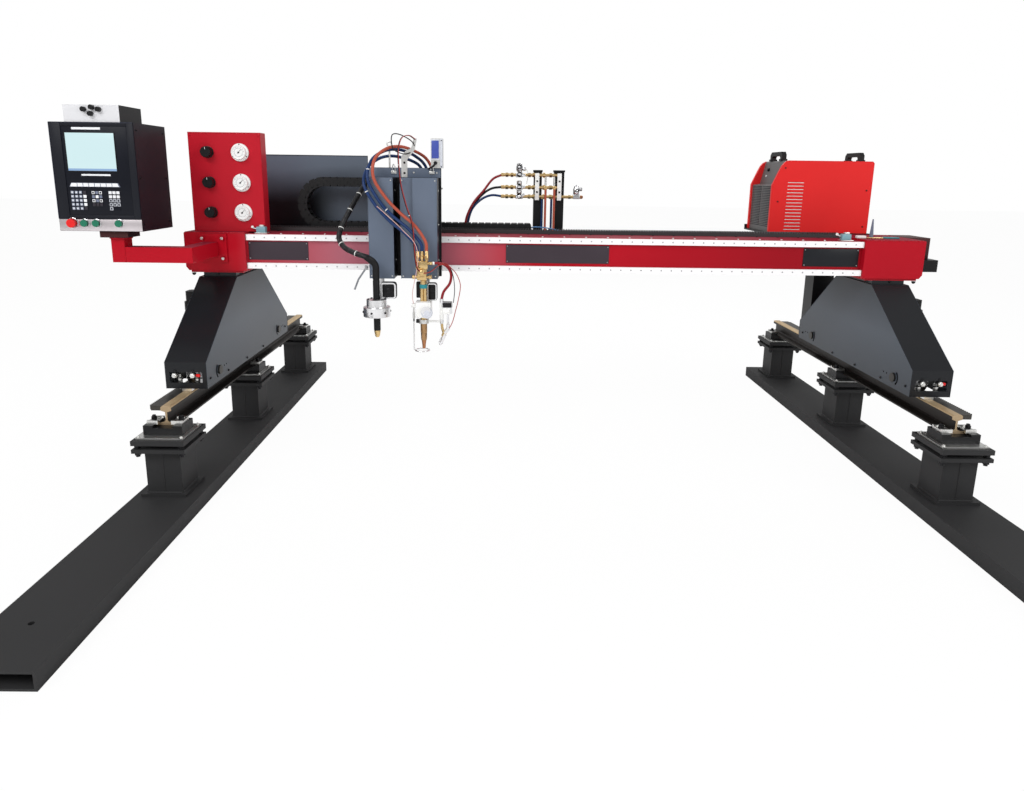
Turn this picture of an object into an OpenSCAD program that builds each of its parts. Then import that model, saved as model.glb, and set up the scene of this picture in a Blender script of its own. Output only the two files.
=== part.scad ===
// Gantry cutting machine: a box beam rolls on two floor rails and carries a plasma and an oxy-fuel torch
// +Z is up, X runs along the beam and +Y points away from the operator.
// The origin is on the floor, midway between the rails and between the ends of the floor beams.

/* [Floor track] */
// Distance between the centre lines of the two rails
gauge = 3200; // [2800:10:4200]
// Length of each floor beam
floor_beam_l = 3100; // [2900:10:4200]
// Width of each floor beam
floor_beam_w = 260; // [240:1:320]
// Height of each floor beam
floor_beam_t = 60; // [40:1:120]
// Wall of the floor beam's box section
floor_beam_wall = 8; // [4:1:12]
// Shift of each floor beam from its rail's centre line toward the work area
floor_beam_shift = 10; // [0:1:20]
// Radius of the anchor holes in the floor beams
anchor_hole_r = 9; // [6:0.5:12]
// Distance between the front and rear anchor holes
anchor_pitch = 2700; // [2500:10:2800]
// Distance between neighbouring pedestals
pedestal_pitch = 910; // [700:10:940]
// Place of the middle pedestal along the track
pedestal_mid_y = 460; // [400:10:500]
// Side of the square pedestal column
column_w = 140; // [110:1:160]
// Height of the pedestal column
column_h = 178; // [100:1:300]
// Wall of the pedestal column
column_wall = 8; // [4:1:12]
// Side of the square base plate
base_plate_w = 180; // [170:1:200]
// Thickness of the base plate
base_plate_t = 12; // [8:1:20]
// Side of the square cap plate and levelling plate
cap_plate_w = 210; // [200:1:230]
// Thickness of the cap plate
cap_plate_t = 16; // [10:1:25]
// Height of the adjusting gap between cap plate and levelling plate
levelling_gap = 16; // [13:1:30]
// Thickness of the levelling plate
levelling_plate_t = 20; // [10:1:30]
// Radius of the levelling bolts
levelling_bolt_r = 8; // [6:0.5:10]
// Distance from a plate's edge to its levelling bolts
levelling_bolt_inset = 18; // [15:1:22]

/* [Rail and fixings] */
// Length of each rail
rail_l = 1900; // [1850:10:2200]
// Place of the rail's front end
rail_front_y = -460; // [-500:5:-440]
// Height of the rail section
rail_h = 79.4; // [70:0.1:107]
// Width of the rail head
rail_head_w = 42.9; // [36:0.1:51]
// Depth of the rail head
rail_head_t = 22; // [20:0.5:26]
// Rounding of the rail head's upper edges
rail_head_round = 8; // [3:0.5:10]
// Width of the rail foot
rail_foot_w = 79.4; // [74:0.1:82]
// Thickness of the rail foot at its edge
rail_foot_t = 7; // [5:0.5:9]
// Thickness of the rail web
rail_web_t = 8.3; // [6:0.1:12]
// Thickness of the bare sole plate under each chair
sole_plate_t = 6; // [4:0.5:10]
// Size of the sole plate across and along the rail
sole_plate_size = [190, 172]; // [160:1:200]
// Width of the rail chair across the rail
chair_w = 156; // [150:1:170]
// Length of the rail chair along the rail
chair_l = 100; // [80:1:140]
// Thickness of the chair under the rail
chair_t = 28; // [15:1:40]
// Radius of the clip bolts
clip_bolt_r = 7; // [5:0.5:8]
// Thickness of the rail clips
clip_t = 10; // [6:0.5:14]
// Length of the rail clips along the rail
clip_l = 64; // [50:1:90]

/* [Racks and pinions] */
// Tooth module of the racks and pinions
tooth_module = 4; // [3:0.5:4]
// Number of teeth on each pinion
pinion_teeth = 22; // [18:1:22]
// Height of the toothed racks and face width of the pinions
rack_face = 20; // [14:1:22]
// Half of the play between rack and pinion teeth
tooth_play = 0.15; // [0.1:0.01:0.3]
// Thickness of a rack behind its tooth roots
rack_back = 17; // [12:1:20]
// Radius of the pinion shafts
pinion_shaft_r = 11; // [8:0.5:14]
// Radial running clearance of shafts in their bores
running_gap = 0.05; // [0.02:0.01:0.1]

/* [End carriages] */
// Width of each end carriage across the rail
carriage_w = 176; // [170:1:190]
// Distance from the rail's centre line to the carriage's inner side
carriage_inner = 96; // [92:1:100]
// Thickness of the side plates
side_plate_t = 8; // [5:1:12]
// Thickness of the folded front, top and rear covers
cover_t = 6; // [3:1:10]
// Place of the carriage's front face
carriage_front_y = -275; // [-290:1:-265]
// Place of the carriage's rear face
carriage_rear_y = 870; // [850:1:890]
// Gap between the rail head and the carriage's lower edge
carriage_lift = 16.6; // [14:0.1:20]
// Height of the upright lower part at the front
front_nose_h = 116; // [100:1:130]
// Height of the upright lower part at the rear
rear_nose_h = 103; // [90:1:115]
// Height of the whole carriage
carriage_h = 423; // [400:1:440]
// Places where the front and rear slopes meet the flat top
carriage_top_y = [135, 485]; // [100:1:520]
// Radius of the wheel tread
wheel_r = 65; // [55:1:70]
// Width of the wheel tread
wheel_w = 48; // [46:1:56]
// Height of the wheel's inner flange
flange_h = 10; // [6:1:12]
// Thickness of the wheel's inner flange
flange_t = 9.5; // [6:0.5:12]
// Side play between the flange and the rail head
flange_play = 3; // [2:0.5:5]
// Radius of the wheel axles
axle_r = 15; // [12:0.5:18]
// Places of the front and rear wheel axles
axle_y = [-140, 700]; // [-150:1:720]
// Height of the neck block between carriage and beam
neck_h = 20; // [15:1:30]

/* [Beam] */
// Distance from each rail's middle to the end of the box beam
beam_setback = 143; // [120:1:160]
// Height of the beam
beam_h = 164; // [162:1:200]
// Depth of the beam
beam_d = 210; // [200:1:230]
// Place of the beam's front face
beam_front_y = 165; // [162:1:170]
// Wall of the beam's box section
beam_wall = 8; // [5:1:12]
// Height of the beam's underside above the carriage neck
beam_rise = 19; // [14:1:22]
// Length of the end blocks along the beam
end_block_l = 284; // [276:1:300]
// Height of the end blocks without their flange
end_block_h = 181; // [176:1:190]
// Depth of the end blocks
end_block_d = 340; // [330:1:350]
// Place of the end blocks' front face
end_block_front_y = 140; // [136:1:145]
// Height of the two linear guides
guide_h = 27; // [20:1:30]
// Depth of the linear guides
guide_t = 15; // [12:1:18]
// Distance between the centre lines of the two guides
guide_pitch = 134; // [130:1:140]

/* [Cable chain] */
// Radius of the chain's bend at its mid line
chain_bend_r = 109.5; // [100:0.5:112]
// Height of the chain's links
chain_h = 46; // [35:1:50]
// Width of the chain's links
chain_w = 70; // [50:1:75]
// Place of the bend's centre along the beam at rest
chain_bend_x = -1152; // [-1180:1:-1100]
// Place of the chain's fixed end
chain_fixed_x = -106; // [-140:1:-90]
// Thickness of the tray sheet
tray_t = 3; // [2:0.5:4]
// Depth of the tray behind the beam
tray_d = 187; // [180:1:200]
// Height of the tray's edges above its floor
tray_edge_h = 7; // [5:1:20]
// Height of the guard plate beside the bend
guard_h = 374; // [300:1:400]
// How far the guard plate reaches past the beam end, and along the beam
guard_reach = [33, 507]; // [20:1:540]

/* [Torch carriage] */
// Place of the torch carriage's centre along the beam at rest
saddle_x = -705; // [-760:1:-650]
// Width of the carriage plate
saddle_w = 334; // [326:1:345]
// Height of the carriage plate
saddle_h = 493; // [480:1:510]
// Height of the carriage plate's lower edge
saddle_z = 877; // [870:1:880]
// Thickness of the carriage plate
saddle_t = 15; // [10:1:18]
// Gap between the carriage plate and the guides, bridged by the guide blocks
block_gap = 40; // [36:1:44]
// Length of the four guide blocks
block_l = 70; // [50:1:80]
// Depth of the lifter covers
lifter_cover_d = 115; // [105:1:125]
// Height of the lifter covers
lifter_cover_h = 446; // [430:1:455]
// Wall of the lifter covers
lifter_cover_t = 2; // [1:0.5:3]
// Width of the left and right lifter covers
lifter_cover_w = [111, 163]; // [100:1:165]
// Dark gap between the lifter covers
lifter_cover_gap = 31; // [20:1:40]
// Side of the square drive motors
motor_w = 70; // [60:1:70]
// Length of the torch carriage's motor
cross_motor_l = 210; // [180:1:212]

/* [Torches] */
// Distance from the carriage plate's front to the torch axes
torch_reach = 185; // [180:1:190]
// Radius of the plasma torch body
plasma_r = 15; // [13:0.5:17]
// Height of the plasma torch tip
plasma_tip_z = 626; // [610:1:640]
// Length of the plasma torch
plasma_l = 304; // [290:1:310]
// Radius of the oxy-fuel torch barrel
oxy_r = 15; // [12:0.5:17]
// Height of the oxy-fuel torch tip
oxy_tip_z = 577; // [574:1:585]
// Height of the holders' lower faces
holder_z = [722, 721]; // [700:1:725]
// Radius of the plasma holder's lower ring
plasma_ring_r = 59; // [50:1:60]
// Radius of the height sensor's ring
sensor_ring_r = 31; // [28:1:34]

/* [Control console] */
// Outer size of the console case
console_size = [346, 270, 443]; // [250:1:450]
// How far the console's swivel axis stands outside the beam end, and its place along Y
arm_place = [437, -117]; // [-130:1:450]
// From the swivel axis back to the console's left front corner
console_offset = [217, 63]; // [50:1:230]
// Height of the console's lower edge
console_z = 1090; // [1070:1:1110]
// Wall of the console case
console_wall = 2; // [1:0.5:4]
// Thickness of the control panel
panel_t = 3; // [2:0.5:5]
// Outer size of the height control box
control_box_size = [228, 180, 68]; // [60:1:230]
// Side of the arm's square post
arm_post_w = 56; // [50:1:60]
// Side of the arm's square tube
arm_tube_w = 66; // [60:1:70]
// Wall of the arm's tubes
arm_wall = 4; // [3:0.5:6]
// Radius of the pin that the console turns on
swivel_pin_r = 12; // [8:0.5:16]

/* [Gas panel and manifold] */
// Width, depth and height of the gas panel
gas_panel_size = [335, 70, 454]; // [60:1:460]
// How far the gas panel's left edge stands outside the beam end, and its front face along Y
gas_panel_place = [256, 200]; // [190:1:260]
// Heights of the three gauge rows above the panel's lower edge
gauge_rows = [88, 226, 364]; // [70:1:390]
// Radius of the pressure gauges
gauge_r = 41; // [35:1:45]
// Depth of the pressure gauges
gauge_t = 24; // [15:1:30]
// Radius of the regulator knobs
regulator_knob_r = 27; // [20:1:30]
// Depth of the regulator knobs
regulator_knob_t = 34; // [20:1:40]
// Radius of the regulator spindles
regulator_shaft_r = 6; // [4:0.5:8]
// Radius of the manifold pipes
pipe_r = 8; // [6:0.5:10]
// Heights of the three manifold pipes
pipe_z = [1236, 1283, 1345]; // [1220:1:1350]

/* [Power source] */
// Outer size of the power source case
source_size = [521, 329, 371]; // [360:1:560]
// How far the power source's front stands inside the beam end, and its near side along Y
source_place = [302, 570]; // [290:1:600]
// Slope of the power source's control face, along X and along Z
source_slope = [30, 70]; // [25:1:75]
// Thickness of the power source's side cheeks
source_cheek_t = 18; // [10:1:24]
// Depth of the front recess between the cheeks
source_recess = 16; // [12:1:20]
// Thickness of the end panels
source_panel_t = 8; // [5:1:11]
// Thickness of the shelf plate under the power source
shelf_t = 8; // [5:1:12]
// Radius of the handle bars
handle_bar_r = 12; // [10:0.5:14]
// Height of the handles
handle_h = 48; // [44:1:55]

/* [Hidden] */
$fn = 48;

// Gap between neighbouring pieces that only lie close
fit_gap = 0.3;
// Play of bolts in their holes
bolt_play = 0.7;
pressure_angle = 20;

rail_x = gauge / 2;
pedestals = [for (i = [-1, 0, 1]) pedestal_mid_y + i * pedestal_pitch];
cap_z = floor_beam_t + base_plate_t + column_h;
levelling_z = cap_z + cap_plate_t + levelling_gap;
sole_z = levelling_z + levelling_plate_t;
chair_z = sole_z + sole_plate_t;
rail_z = chair_z + chair_t;
rail_top_z = rail_z + rail_h;
levelling_bolt_off = cap_plate_w / 2 - levelling_bolt_inset;
nut_t = 10;
// The foot's upper face rises from its edge to the web; clips lie on it at this height
clip_seat_z = rail_z + rail_foot_t + 3.4;
clip_bolt_x = rail_foot_w / 2 + clip_bolt_r + 8;
clip_inner_x = rail_foot_w / 2 - 13;
clip_w = 44;

tooth_pitch = PI * tooth_module;
pinion_r = tooth_module * pinion_teeth / 2;
tooth_head = tooth_module;
tooth_foot = 1.25 * tooth_module;

motor_gap = 1;
carriage_outer = carriage_w - carriage_inner;
carriage_z = rail_top_z + carriage_lift;
carriage_top_z = carriage_z + carriage_h;
drive_x = rail_x + carriage_outer + motor_gap + motor_w / 2;
drive_y = 140;
drive_pitch_x = drive_x - pinion_r;
rack_back_x = drive_pitch_x - tooth_foot - rack_back;
rack_z = rail_top_z - 3.4 - rack_face;
drive_plate_t = 12;
drive_plate_z = rail_top_z + 8.6;
gearbox_l = 124;
drive_motor_l = 180;
encoder_l = 48;
axle_z = rail_top_z + fit_gap + wheel_r;
wheel_inner_x = rail_x - rail_head_w / 2 - flange_play - flange_t;
hub_l = 74;
hub_r = 32;
carriage_outline = [
    [carriage_front_y, carriage_z],
    [carriage_front_y, carriage_z + front_nose_h],
    [carriage_top_y[0], carriage_top_z],
    [carriage_top_y[1], carriage_top_z],
    [carriage_rear_y, carriage_z + rear_nose_h],
    [carriage_rear_y, carriage_z],
];
neck_top_z = carriage_top_z + neck_h;

beam_z = neck_top_z + beam_rise;
beam_top_z = beam_z + beam_h;
beam_back_y = beam_front_y + beam_d;
guide_front_y = beam_front_y - guide_t;
guide_z = [beam_z + 1 + guide_h / 2, beam_z + 1 + guide_h / 2 + guide_pitch];
end_flange_t = 10;
end_block_z = neck_top_z + end_flange_t;
end_block_top_z = end_block_z + end_block_h;
end_block_bend = 6;
end_block_back_y = end_block_front_y + end_block_d;
beam_half = rail_x - beam_setback;

tray_floor_z = beam_top_z - 1.3;
tray_back_y = beam_back_y + tray_d;
chain_front_y = beam_back_y + 55;
chain_low_z = tray_floor_z + fit_gap + chain_h / 2;
chain_high_z = chain_low_z + 2 * chain_bend_r;

saddle_front_y = guide_front_y - block_gap - saddle_t;
saddle_back_y = saddle_front_y + saddle_t;
saddle_top_z = saddle_z + saddle_h;
saddle_left_x = saddle_x - saddle_w / 2 + 4;
bracket_t = 8;
bracket_z = chain_high_z - chain_h / 2 - bracket_t;
cover_front_y = saddle_front_y - lifter_cover_d;
cover_z = saddle_z + 3;
cover_left_x = saddle_x - lifter_cover_gap - lifter_cover_w[0];
cross_rack_y = beam_back_y - 25;
cross_pitch_z = beam_top_z + rack_back + tooth_foot;
cross_axis_z = cross_pitch_z + pinion_r;
motor_plate_t = 10;
motor_plate_y = cross_rack_y - 20;

torch_y = saddle_front_y - torch_reach;
plasma_x = saddle_x - 101;
oxy_x = saddle_x + 107;
hose_tail_x = [-583, -603, -623];
hose_tail_z = 1010;
lifter_bar_top_z = 1235;
lifter_bar_half = 15;
lifter_bar_y = [saddle_front_y - 65, saddle_front_y - 45];
ring_h = [42, 34];
foot_low = 8;
foot_high = 36;
oxy_head_z = 885;
oxy_head_h = 85;
oxy_neck_h = 52;
oxy_taper_h = 50;
igniter_rod_z = 701;
igniter_x = -518;

arm_axis = [-beam_half - arm_place[0], arm_place[1]];
console_corner = [arm_axis[0] - console_offset[0], arm_axis[1] - console_offset[1], console_z];
console_top_z = console_corner[2] + console_size[2];
arm_z = console_z - 135;
arm_disc_z = console_corner[2] - 34;
arm_corner_x = -beam_half - 123;
arm_plate = [126, 10, 134];
arm_plate_corner = [arm_corner_x - 86, arm_z - 29];
box_x = console_corner[0] + 64;
strip_z = console_corner[2] + 33;
button_shaft_r = 6;
button_travel = 5;
small_knob_r = 10;
small_knob_shaft_r = 3;
small_knob_at = [[box_x + 87, 50], [box_x + 121, 58], [box_x + 148, 50], [box_x + 114, 33]];
start_button_x = [console_corner[0] + 107, console_corner[0] + 156, console_corner[0] + 251];
stop_button_x = console_corner[0] + 57;

gas_panel_z = end_block_top_z;
gas_panel_corner = [-beam_half - gas_panel_place[0], gas_panel_place[1]];
gauge_x = gas_panel_corner[0] + 238;
regulator_x = gas_panel_corner[0] + 89;
pipe_y = tray_back_y - 22;
post_x = [-91, 14];
post_w = [42, 53];
post_d = 36;
post_foot_z = beam_top_z - 58;
post_top_z = 1361;

source_z = tray_floor_z + fit_gap + shelf_t;
source_corner = [beam_half - source_place[0], source_place[1]];
source_top_z = source_z + source_size[2];
stand_w = 113;
stand_y = [750, 860];

// Hose and lead routes, chosen by hand
hose_orange = [
    [-590, 215, 1340], [-590, 212, 1378], [-616, 180, 1420], [-664, 125, 1448], [-716, 78, 1462],
    [-768, 30, 1450], [-812, -24, 1402], [-814, -46, 1322], [-762, -48, 1238], [-700, -52, 1174],
    [-636, -70, 1122], [-588, -90, 1056], [-583, -90, 1010],
];
hose_blue = [
    [-612, 215, 1340], [-612, 214, 1370], [-634, 196, 1404], [-680, 150, 1436], [-730, 104, 1450],
    [-784, 52, 1440], [-830, -6, 1396], [-840, -44, 1316], [-790, -48, 1222], [-730, -52, 1158],
    [-664, -70, 1108], [-608, -90, 1048], [-603, -90, 1010],
];
hose_blue_twin = [
    [-634, 215, 1340], [-634, 214, 1364], [-654, 204, 1390], [-704, 180, 1412], [-764, 144, 1422],
    [-812, 84, 1408], [-850, 14, 1366], [-858, -40, 1294], [-808, -50, 1206], [-750, -52, 1142],
    [-684, -70, 1092], [-630, -90, 1040], [-623, -90, 1010],
];
lead_route = [
    [-830, 175, 1330], [-860, 168, 1322], [-890, 146, 1290], [-916, 110, 1240], [-945, 70, 1180],
    [-976, 35, 1110], [-984, 2, 1060], [-956, -34, 1022], [-904, -68, 1000], [-848, -88, 984],
    [-814, -90, 964], [-806, -90, 930],
];
igniter_route = [
    [-560, -90, 960], [-538, -90, 961], [-502, -98, 955], [-476, -104, 922], [-480, -102, 876],
    [-508, -94, 836], [-518, -90, 803],
];
manifold_left = [
    [-256, 540, 1345], [-304, 540, 1322], [-350, 536, 1264], [-402, 524, 1202], [-437, 515, 1128],
    [-447, 512, 1056.7],
];
manifold_left_mid = [
    [-256, 540, 1283], [-308, 541, 1275], [-354, 545, 1246], [-402, 549, 1190], [-430, 549, 1124],
    [-437, 549, 1056.7],
];
manifold_left_low = [
    [-256, 540, 1236], [-312, 540, 1240], [-366, 536, 1216], [-414, 531, 1160], [-441, 530, 1056.7],
];
manifold_drops = [
    [[-31, 524, 1273], [-31, 524, 1056.7]], [[14, 524, 1273], [14, 524, 1056.7]],
    [[-47, 540, 1224], [-47, 540, 1056.7]], [[1, 540, 1224], [1, 540, 1056.7]],
];

// Shape helpers
module both_sides() {
    children();
    mirror([1, 0, 0]) children();
}
module yz_plate(x, t) {
    translate([x, 0, 0]) rotate([90, 0, 90]) linear_extrude(t) children();
}
module xz_plate(y, t) {
    translate([0, y + t, 0]) rotate([90, 0, 0]) linear_extrude(t) children();
}
module x_rod(at, r, l) {
    translate(at) rotate([0, 90, 0]) cylinder(r = r, h = l);
}
module y_rod(at, r, l) {
    translate(at) rotate([-90, 0, 0]) cylinder(r = r, h = l);
}
module z_rod(at, r, l) {
    translate(at) cylinder(r = r, h = l);
}
module block(low, high) {
    translate(low) cube([high[0] - low[0], high[1] - low[1], high[2] - low[2]]);
}
module hex(at, flats, h) {
    translate(at) cylinder(d = flats / cos(30), h = h, $fn = 6);
}
// Points of an arc around a centre, from one angle to another
function arc(c, r, a0, a1, n) =
    [for (i = [0:n]) c + r * [cos(a0 + (a1 - a0) * i / n), sin(a0 + (a1 - a0) * i / n)]];
// The corners of a polygon moved inward by d; the corners run clockwise
function inset_corner(p, i, d) = let(
    n = len(p),
    a = p[i] - p[(i + n - 1) % n],
    b = p[(i + 1) % n] - p[i],
    na = [a[1], -a[0]] / norm(a),
    nb = [b[1], -b[0]] / norm(b)
) p[i] + (na + nb) * d / (1 + na * nb);
function inset(p, d) = [for (i = [0:len(p) - 1]) inset_corner(p, i, d)];

// A tube swept along a route; each end lies flat against the face it meets
function unit(v) = v / norm(v);
function nearest_axis(v) = let(m = max([for (c = v) abs(c)])) [for (c = v) abs(c) == m ? sign(c) : 0];
function heading(p, i) = let(n = len(p), t = unit(p[min(i + 1, n - 1)] - p[max(i - 1, 0)]))
    i == 0 || i == n - 1 ? nearest_axis(t) : t;
function ring_sides(p, n, i = 0) = i == len(p) ? [] : let(
    t = heading(p, i),
    m = unit(n - (n * t) * t)
) concat([m], ring_sides(p, m, i + 1));
module cord_tube(route, d, sides = 8) {
    t0 = heading(route, 0);
    ns = ring_sides(route, abs(t0[2]) < 0.9 ? [0, 0, 1] : [1, 0, 0]);
    pts = [for (i = [0:len(route) - 1]) let(t = heading(route, i), n = ns[i], b = cross(t, n))
        for (k = [0:sides - 1]) route[i] + d / 2 * (cos(360 * k / sides) * n + sin(360 * k / sides) * b)];
    last = (len(route) - 1) * sides;
    faces = concat(
        [[for (k = [0:sides - 1]) k]],
        [[for (k = [sides - 1:-1:0]) last + k]],
        [for (i = [0:len(route) - 2]) for (k = [0:sides - 1])
            let(a = i * sides + k, b = i * sides + (k + 1) % sides) [a, a + sides, b + sides, b]]
    );
    polyhedron(pts, faces);
}

// Straight rack teeth along +X with the pitch line on the X axis, from x0 to x1, with a gap at x = 0
function rack_points(x0, x1) = let(
    lean = tan(pressure_angle),
    half = tooth_pitch / 4 - tooth_play,
    k0 = ceil(x0 / tooth_pitch - 0.5) + 1,
    k1 = floor(x1 / tooth_pitch - 0.5) - 1
) concat(
    [[x0, -tooth_foot - rack_back], [x0, -tooth_foot]],
    [for (k = [k0:k1]) for (s = [[-1, 0], [-1, 1], [1, 1], [1, 0]]) let(c = (k + 0.5) * tooth_pitch)
        s[1] == 0 ? [c + s[0] * (half + tooth_foot * lean), -tooth_foot]
                  : [c + s[0] * (half - tooth_head * lean), tooth_head]],
    [[x1, -tooth_foot], [x1, -tooth_foot - rack_back]]
);
// Involute pinion outline with a tooth pointing along -Y
function involute(a) = tan(a) * 180 / PI - a;
function flank_angle(r, base) = 90 / pinion_teeth - tooth_play / pinion_r * 180 / PI
    + involute(pressure_angle) - involute(acos(min(1, base / r)));
function pinion_points() = let(
    base = pinion_r * cos(pressure_angle),
    root = pinion_r - tooth_foot,
    tip = pinion_r + tooth_head,
    steps = 4,
    radii = [for (i = [0:steps]) base + (tip - base) * i / steps],
    side = concat([[root, flank_angle(base, base)]], [for (r = radii) [r, flank_angle(r, base)]])
) [for (k = [0:pinion_teeth - 1]) let(mid = -90 + 360 * k / pinion_teeth)
    for (q = concat([for (s = side) [s[0], -s[1]]], [for (i = [len(side) - 1:-1:0]) side[i]]))
        q[0] * [cos(mid + q[1]), sin(mid + q[1])]];

// Floor track
module floor_beams() color([0.17, 0.17, 0.17]) both_sides() {
    x0 = rail_x - floor_beam_shift - floor_beam_w / 2;
    difference() {
        translate([x0, -floor_beam_l / 2, 0]) cube([floor_beam_w, floor_beam_l, floor_beam_t]);
        translate([x0 + floor_beam_wall, -floor_beam_l / 2 - 1, floor_beam_wall])
            cube([floor_beam_w - 2 * floor_beam_wall, floor_beam_l + 2,
                floor_beam_t - 2 * floor_beam_wall]);
        for (y = [-1, 1]) z_rod([rail_x, y * anchor_pitch / 2, -1], anchor_hole_r, floor_beam_t + 2);
    }
}
module pedestal_holes(r, z, h) {
    for (sx = [-1, 1], sy = [-1, 1])
        z_rod([rail_x + sx * levelling_bolt_off, sy * levelling_bolt_off, z], r, h);
}
module square_plate(w, z, t) {
    translate([rail_x - w / 2, -w / 2, z]) cube([w, w, t]);
}
module rail_pedestals() color([0.19, 0.19, 0.19]) both_sides() for (y = pedestals) translate([0, y, 0]) {
    seam = 3;
    difference() {
        union() {
            square_plate(base_plate_w, floor_beam_t, base_plate_t);
            square_plate(column_w, floor_beam_t + base_plate_t, column_h);
            square_plate(cap_plate_w, cap_z, cap_plate_t);
        }
        translate([rail_x - column_w / 2 + column_wall, -column_w / 2 + column_wall,
            floor_beam_t + base_plate_t])
            cube([column_w - 2 * column_wall, column_w - 2 * column_wall, column_h]);
        z_rod([rail_x, 0, cap_z - 1], 25, cap_plate_t + 2);
        pedestal_holes(levelling_bolt_r + bolt_play, cap_z - 1, cap_plate_t + 2);
        for (s = [-1, 1]) translate([rail_x - seam / 2, s * column_w / 2 - 1, floor_beam_t + base_plate_t])
            cube([seam, 2, column_h]);
    }
    difference() {
        square_plate(cap_plate_w, levelling_z, levelling_plate_t);
        pedestal_holes(levelling_bolt_r + bolt_play, levelling_z - 1, levelling_plate_t + 2);
    }
}
module track_bolts() color([0.1, 0.1, 0.1]) both_sides() for (y = pedestals) translate([rail_x, y, 0]) {
    thin_nut_t = 6;
    for (sx = [-1, 1], sy = [-1, 1]) translate([sx * levelling_bolt_off, sy * levelling_bolt_off, 0]) {
        z_rod([0, 0, cap_z - nut_t - 8], levelling_bolt_r,
            levelling_z + levelling_plate_t + nut_t + 7 - cap_z);
        hex([0, 0, cap_z - nut_t], 2.9 * levelling_bolt_r, nut_t);
        hex([0, 0, cap_z + cap_plate_t], 2.9 * levelling_bolt_r, thin_nut_t);
        hex([0, 0, levelling_z - thin_nut_t], 2.9 * levelling_bolt_r, thin_nut_t);
    }
    for (s = [-1, 1]) translate([s * clip_bolt_x, 0, 0]) {
        z_rod([0, 0, sole_z + 1], clip_bolt_r, clip_seat_z + clip_t + 18 - sole_z);
        hex([0, 0, clip_seat_z + clip_t], 2.9 * clip_bolt_r, 12);
    }
}
module clip_bolt_holes(z, h) {
    for (s = [-1, 1]) z_rod([s * clip_bolt_x, 0, z], clip_bolt_r + bolt_play, h);
}
module rail_chairs() color([0.07, 0.07, 0.07]) both_sides() for (y = pedestals) translate([rail_x, y, 0])
    difference() {
        block([-chair_w / 2, -chair_l / 2, chair_z], [chair_w / 2, chair_l / 2, clip_seat_z]);
        block([-rail_foot_w / 2 - fit_gap, -chair_l / 2 - 1, rail_z],
            [rail_foot_w / 2 + fit_gap, chair_l / 2 + 1, rail_z + 40]);
        clip_bolt_holes(chair_z - 1, chair_t + 40);
    }
module rail_clips() color([0.8, 0.8, 0.78]) both_sides() for (y = pedestals) translate([rail_x, y, 0]) {
    difference() {
        block([-sole_plate_size[0] / 2, -sole_plate_size[1] / 2, sole_z],
            [sole_plate_size[0] / 2, sole_plate_size[1] / 2, chair_z]);
        clip_bolt_holes(sole_z - 1, sole_plate_t + 2);
    }
    for (s = [-1, 1])
        translate([s > 0 ? clip_inner_x : -clip_inner_x - clip_w, -clip_l / 2, clip_seat_z]) difference() {
        union() {
            cube([clip_w, clip_l, clip_t]);
            for (e = [0, clip_l - 10]) translate([0, e, 0]) cube([clip_w, 10, clip_t + 5]);
        }
        z_rod([s > 0 ? clip_bolt_x - clip_inner_x : clip_w - clip_bolt_x + clip_inner_x, clip_l / 2,
            -1], clip_bolt_r + bolt_play, clip_t + 2);
    }
}
function rail_half() = concat(
    [[rail_foot_w / 2, 0], [rail_foot_w / 2, rail_foot_t], [rail_web_t / 2 + 6, rail_foot_t + 7.5]],
    [[rail_web_t / 2, rail_foot_t + 13], [rail_web_t / 2, rail_h - rail_head_t - 3]],
    [[rail_head_w / 2, rail_h - rail_head_t + 3]],
    arc([rail_head_w / 2 - rail_head_round, rail_h - rail_head_round], rail_head_round, 0, 90, 6)
);
module crane_rails() color([0.3, 0.27, 0.22]) both_sides()
    translate([rail_x, 0, rail_z]) xz_plate(rail_front_y, rail_l) polygon(concat(
        rail_half(),
        [for (i = [len(rail_half()) - 1:-1:0]) [-rail_half()[i][0], rail_half()[i][1]]]
    ));
module drive_racks() color([0.35, 0.35, 0.37]) both_sides() {
    end = 15;
    block([rail_x + rail_head_w / 2 + fit_gap, rail_front_y + end, rack_z],
        [rack_back_x - fit_gap, rail_front_y + rail_l - end, rack_z + rack_face]);
    translate([drive_pitch_x, drive_y, rack_z]) mirror([0, 1, 0]) rotate([0, 0, -90])
        linear_extrude(rack_face)
        polygon(rack_points(rail_front_y + end - drive_y, rail_front_y + rail_l - end - drive_y));
}

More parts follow.
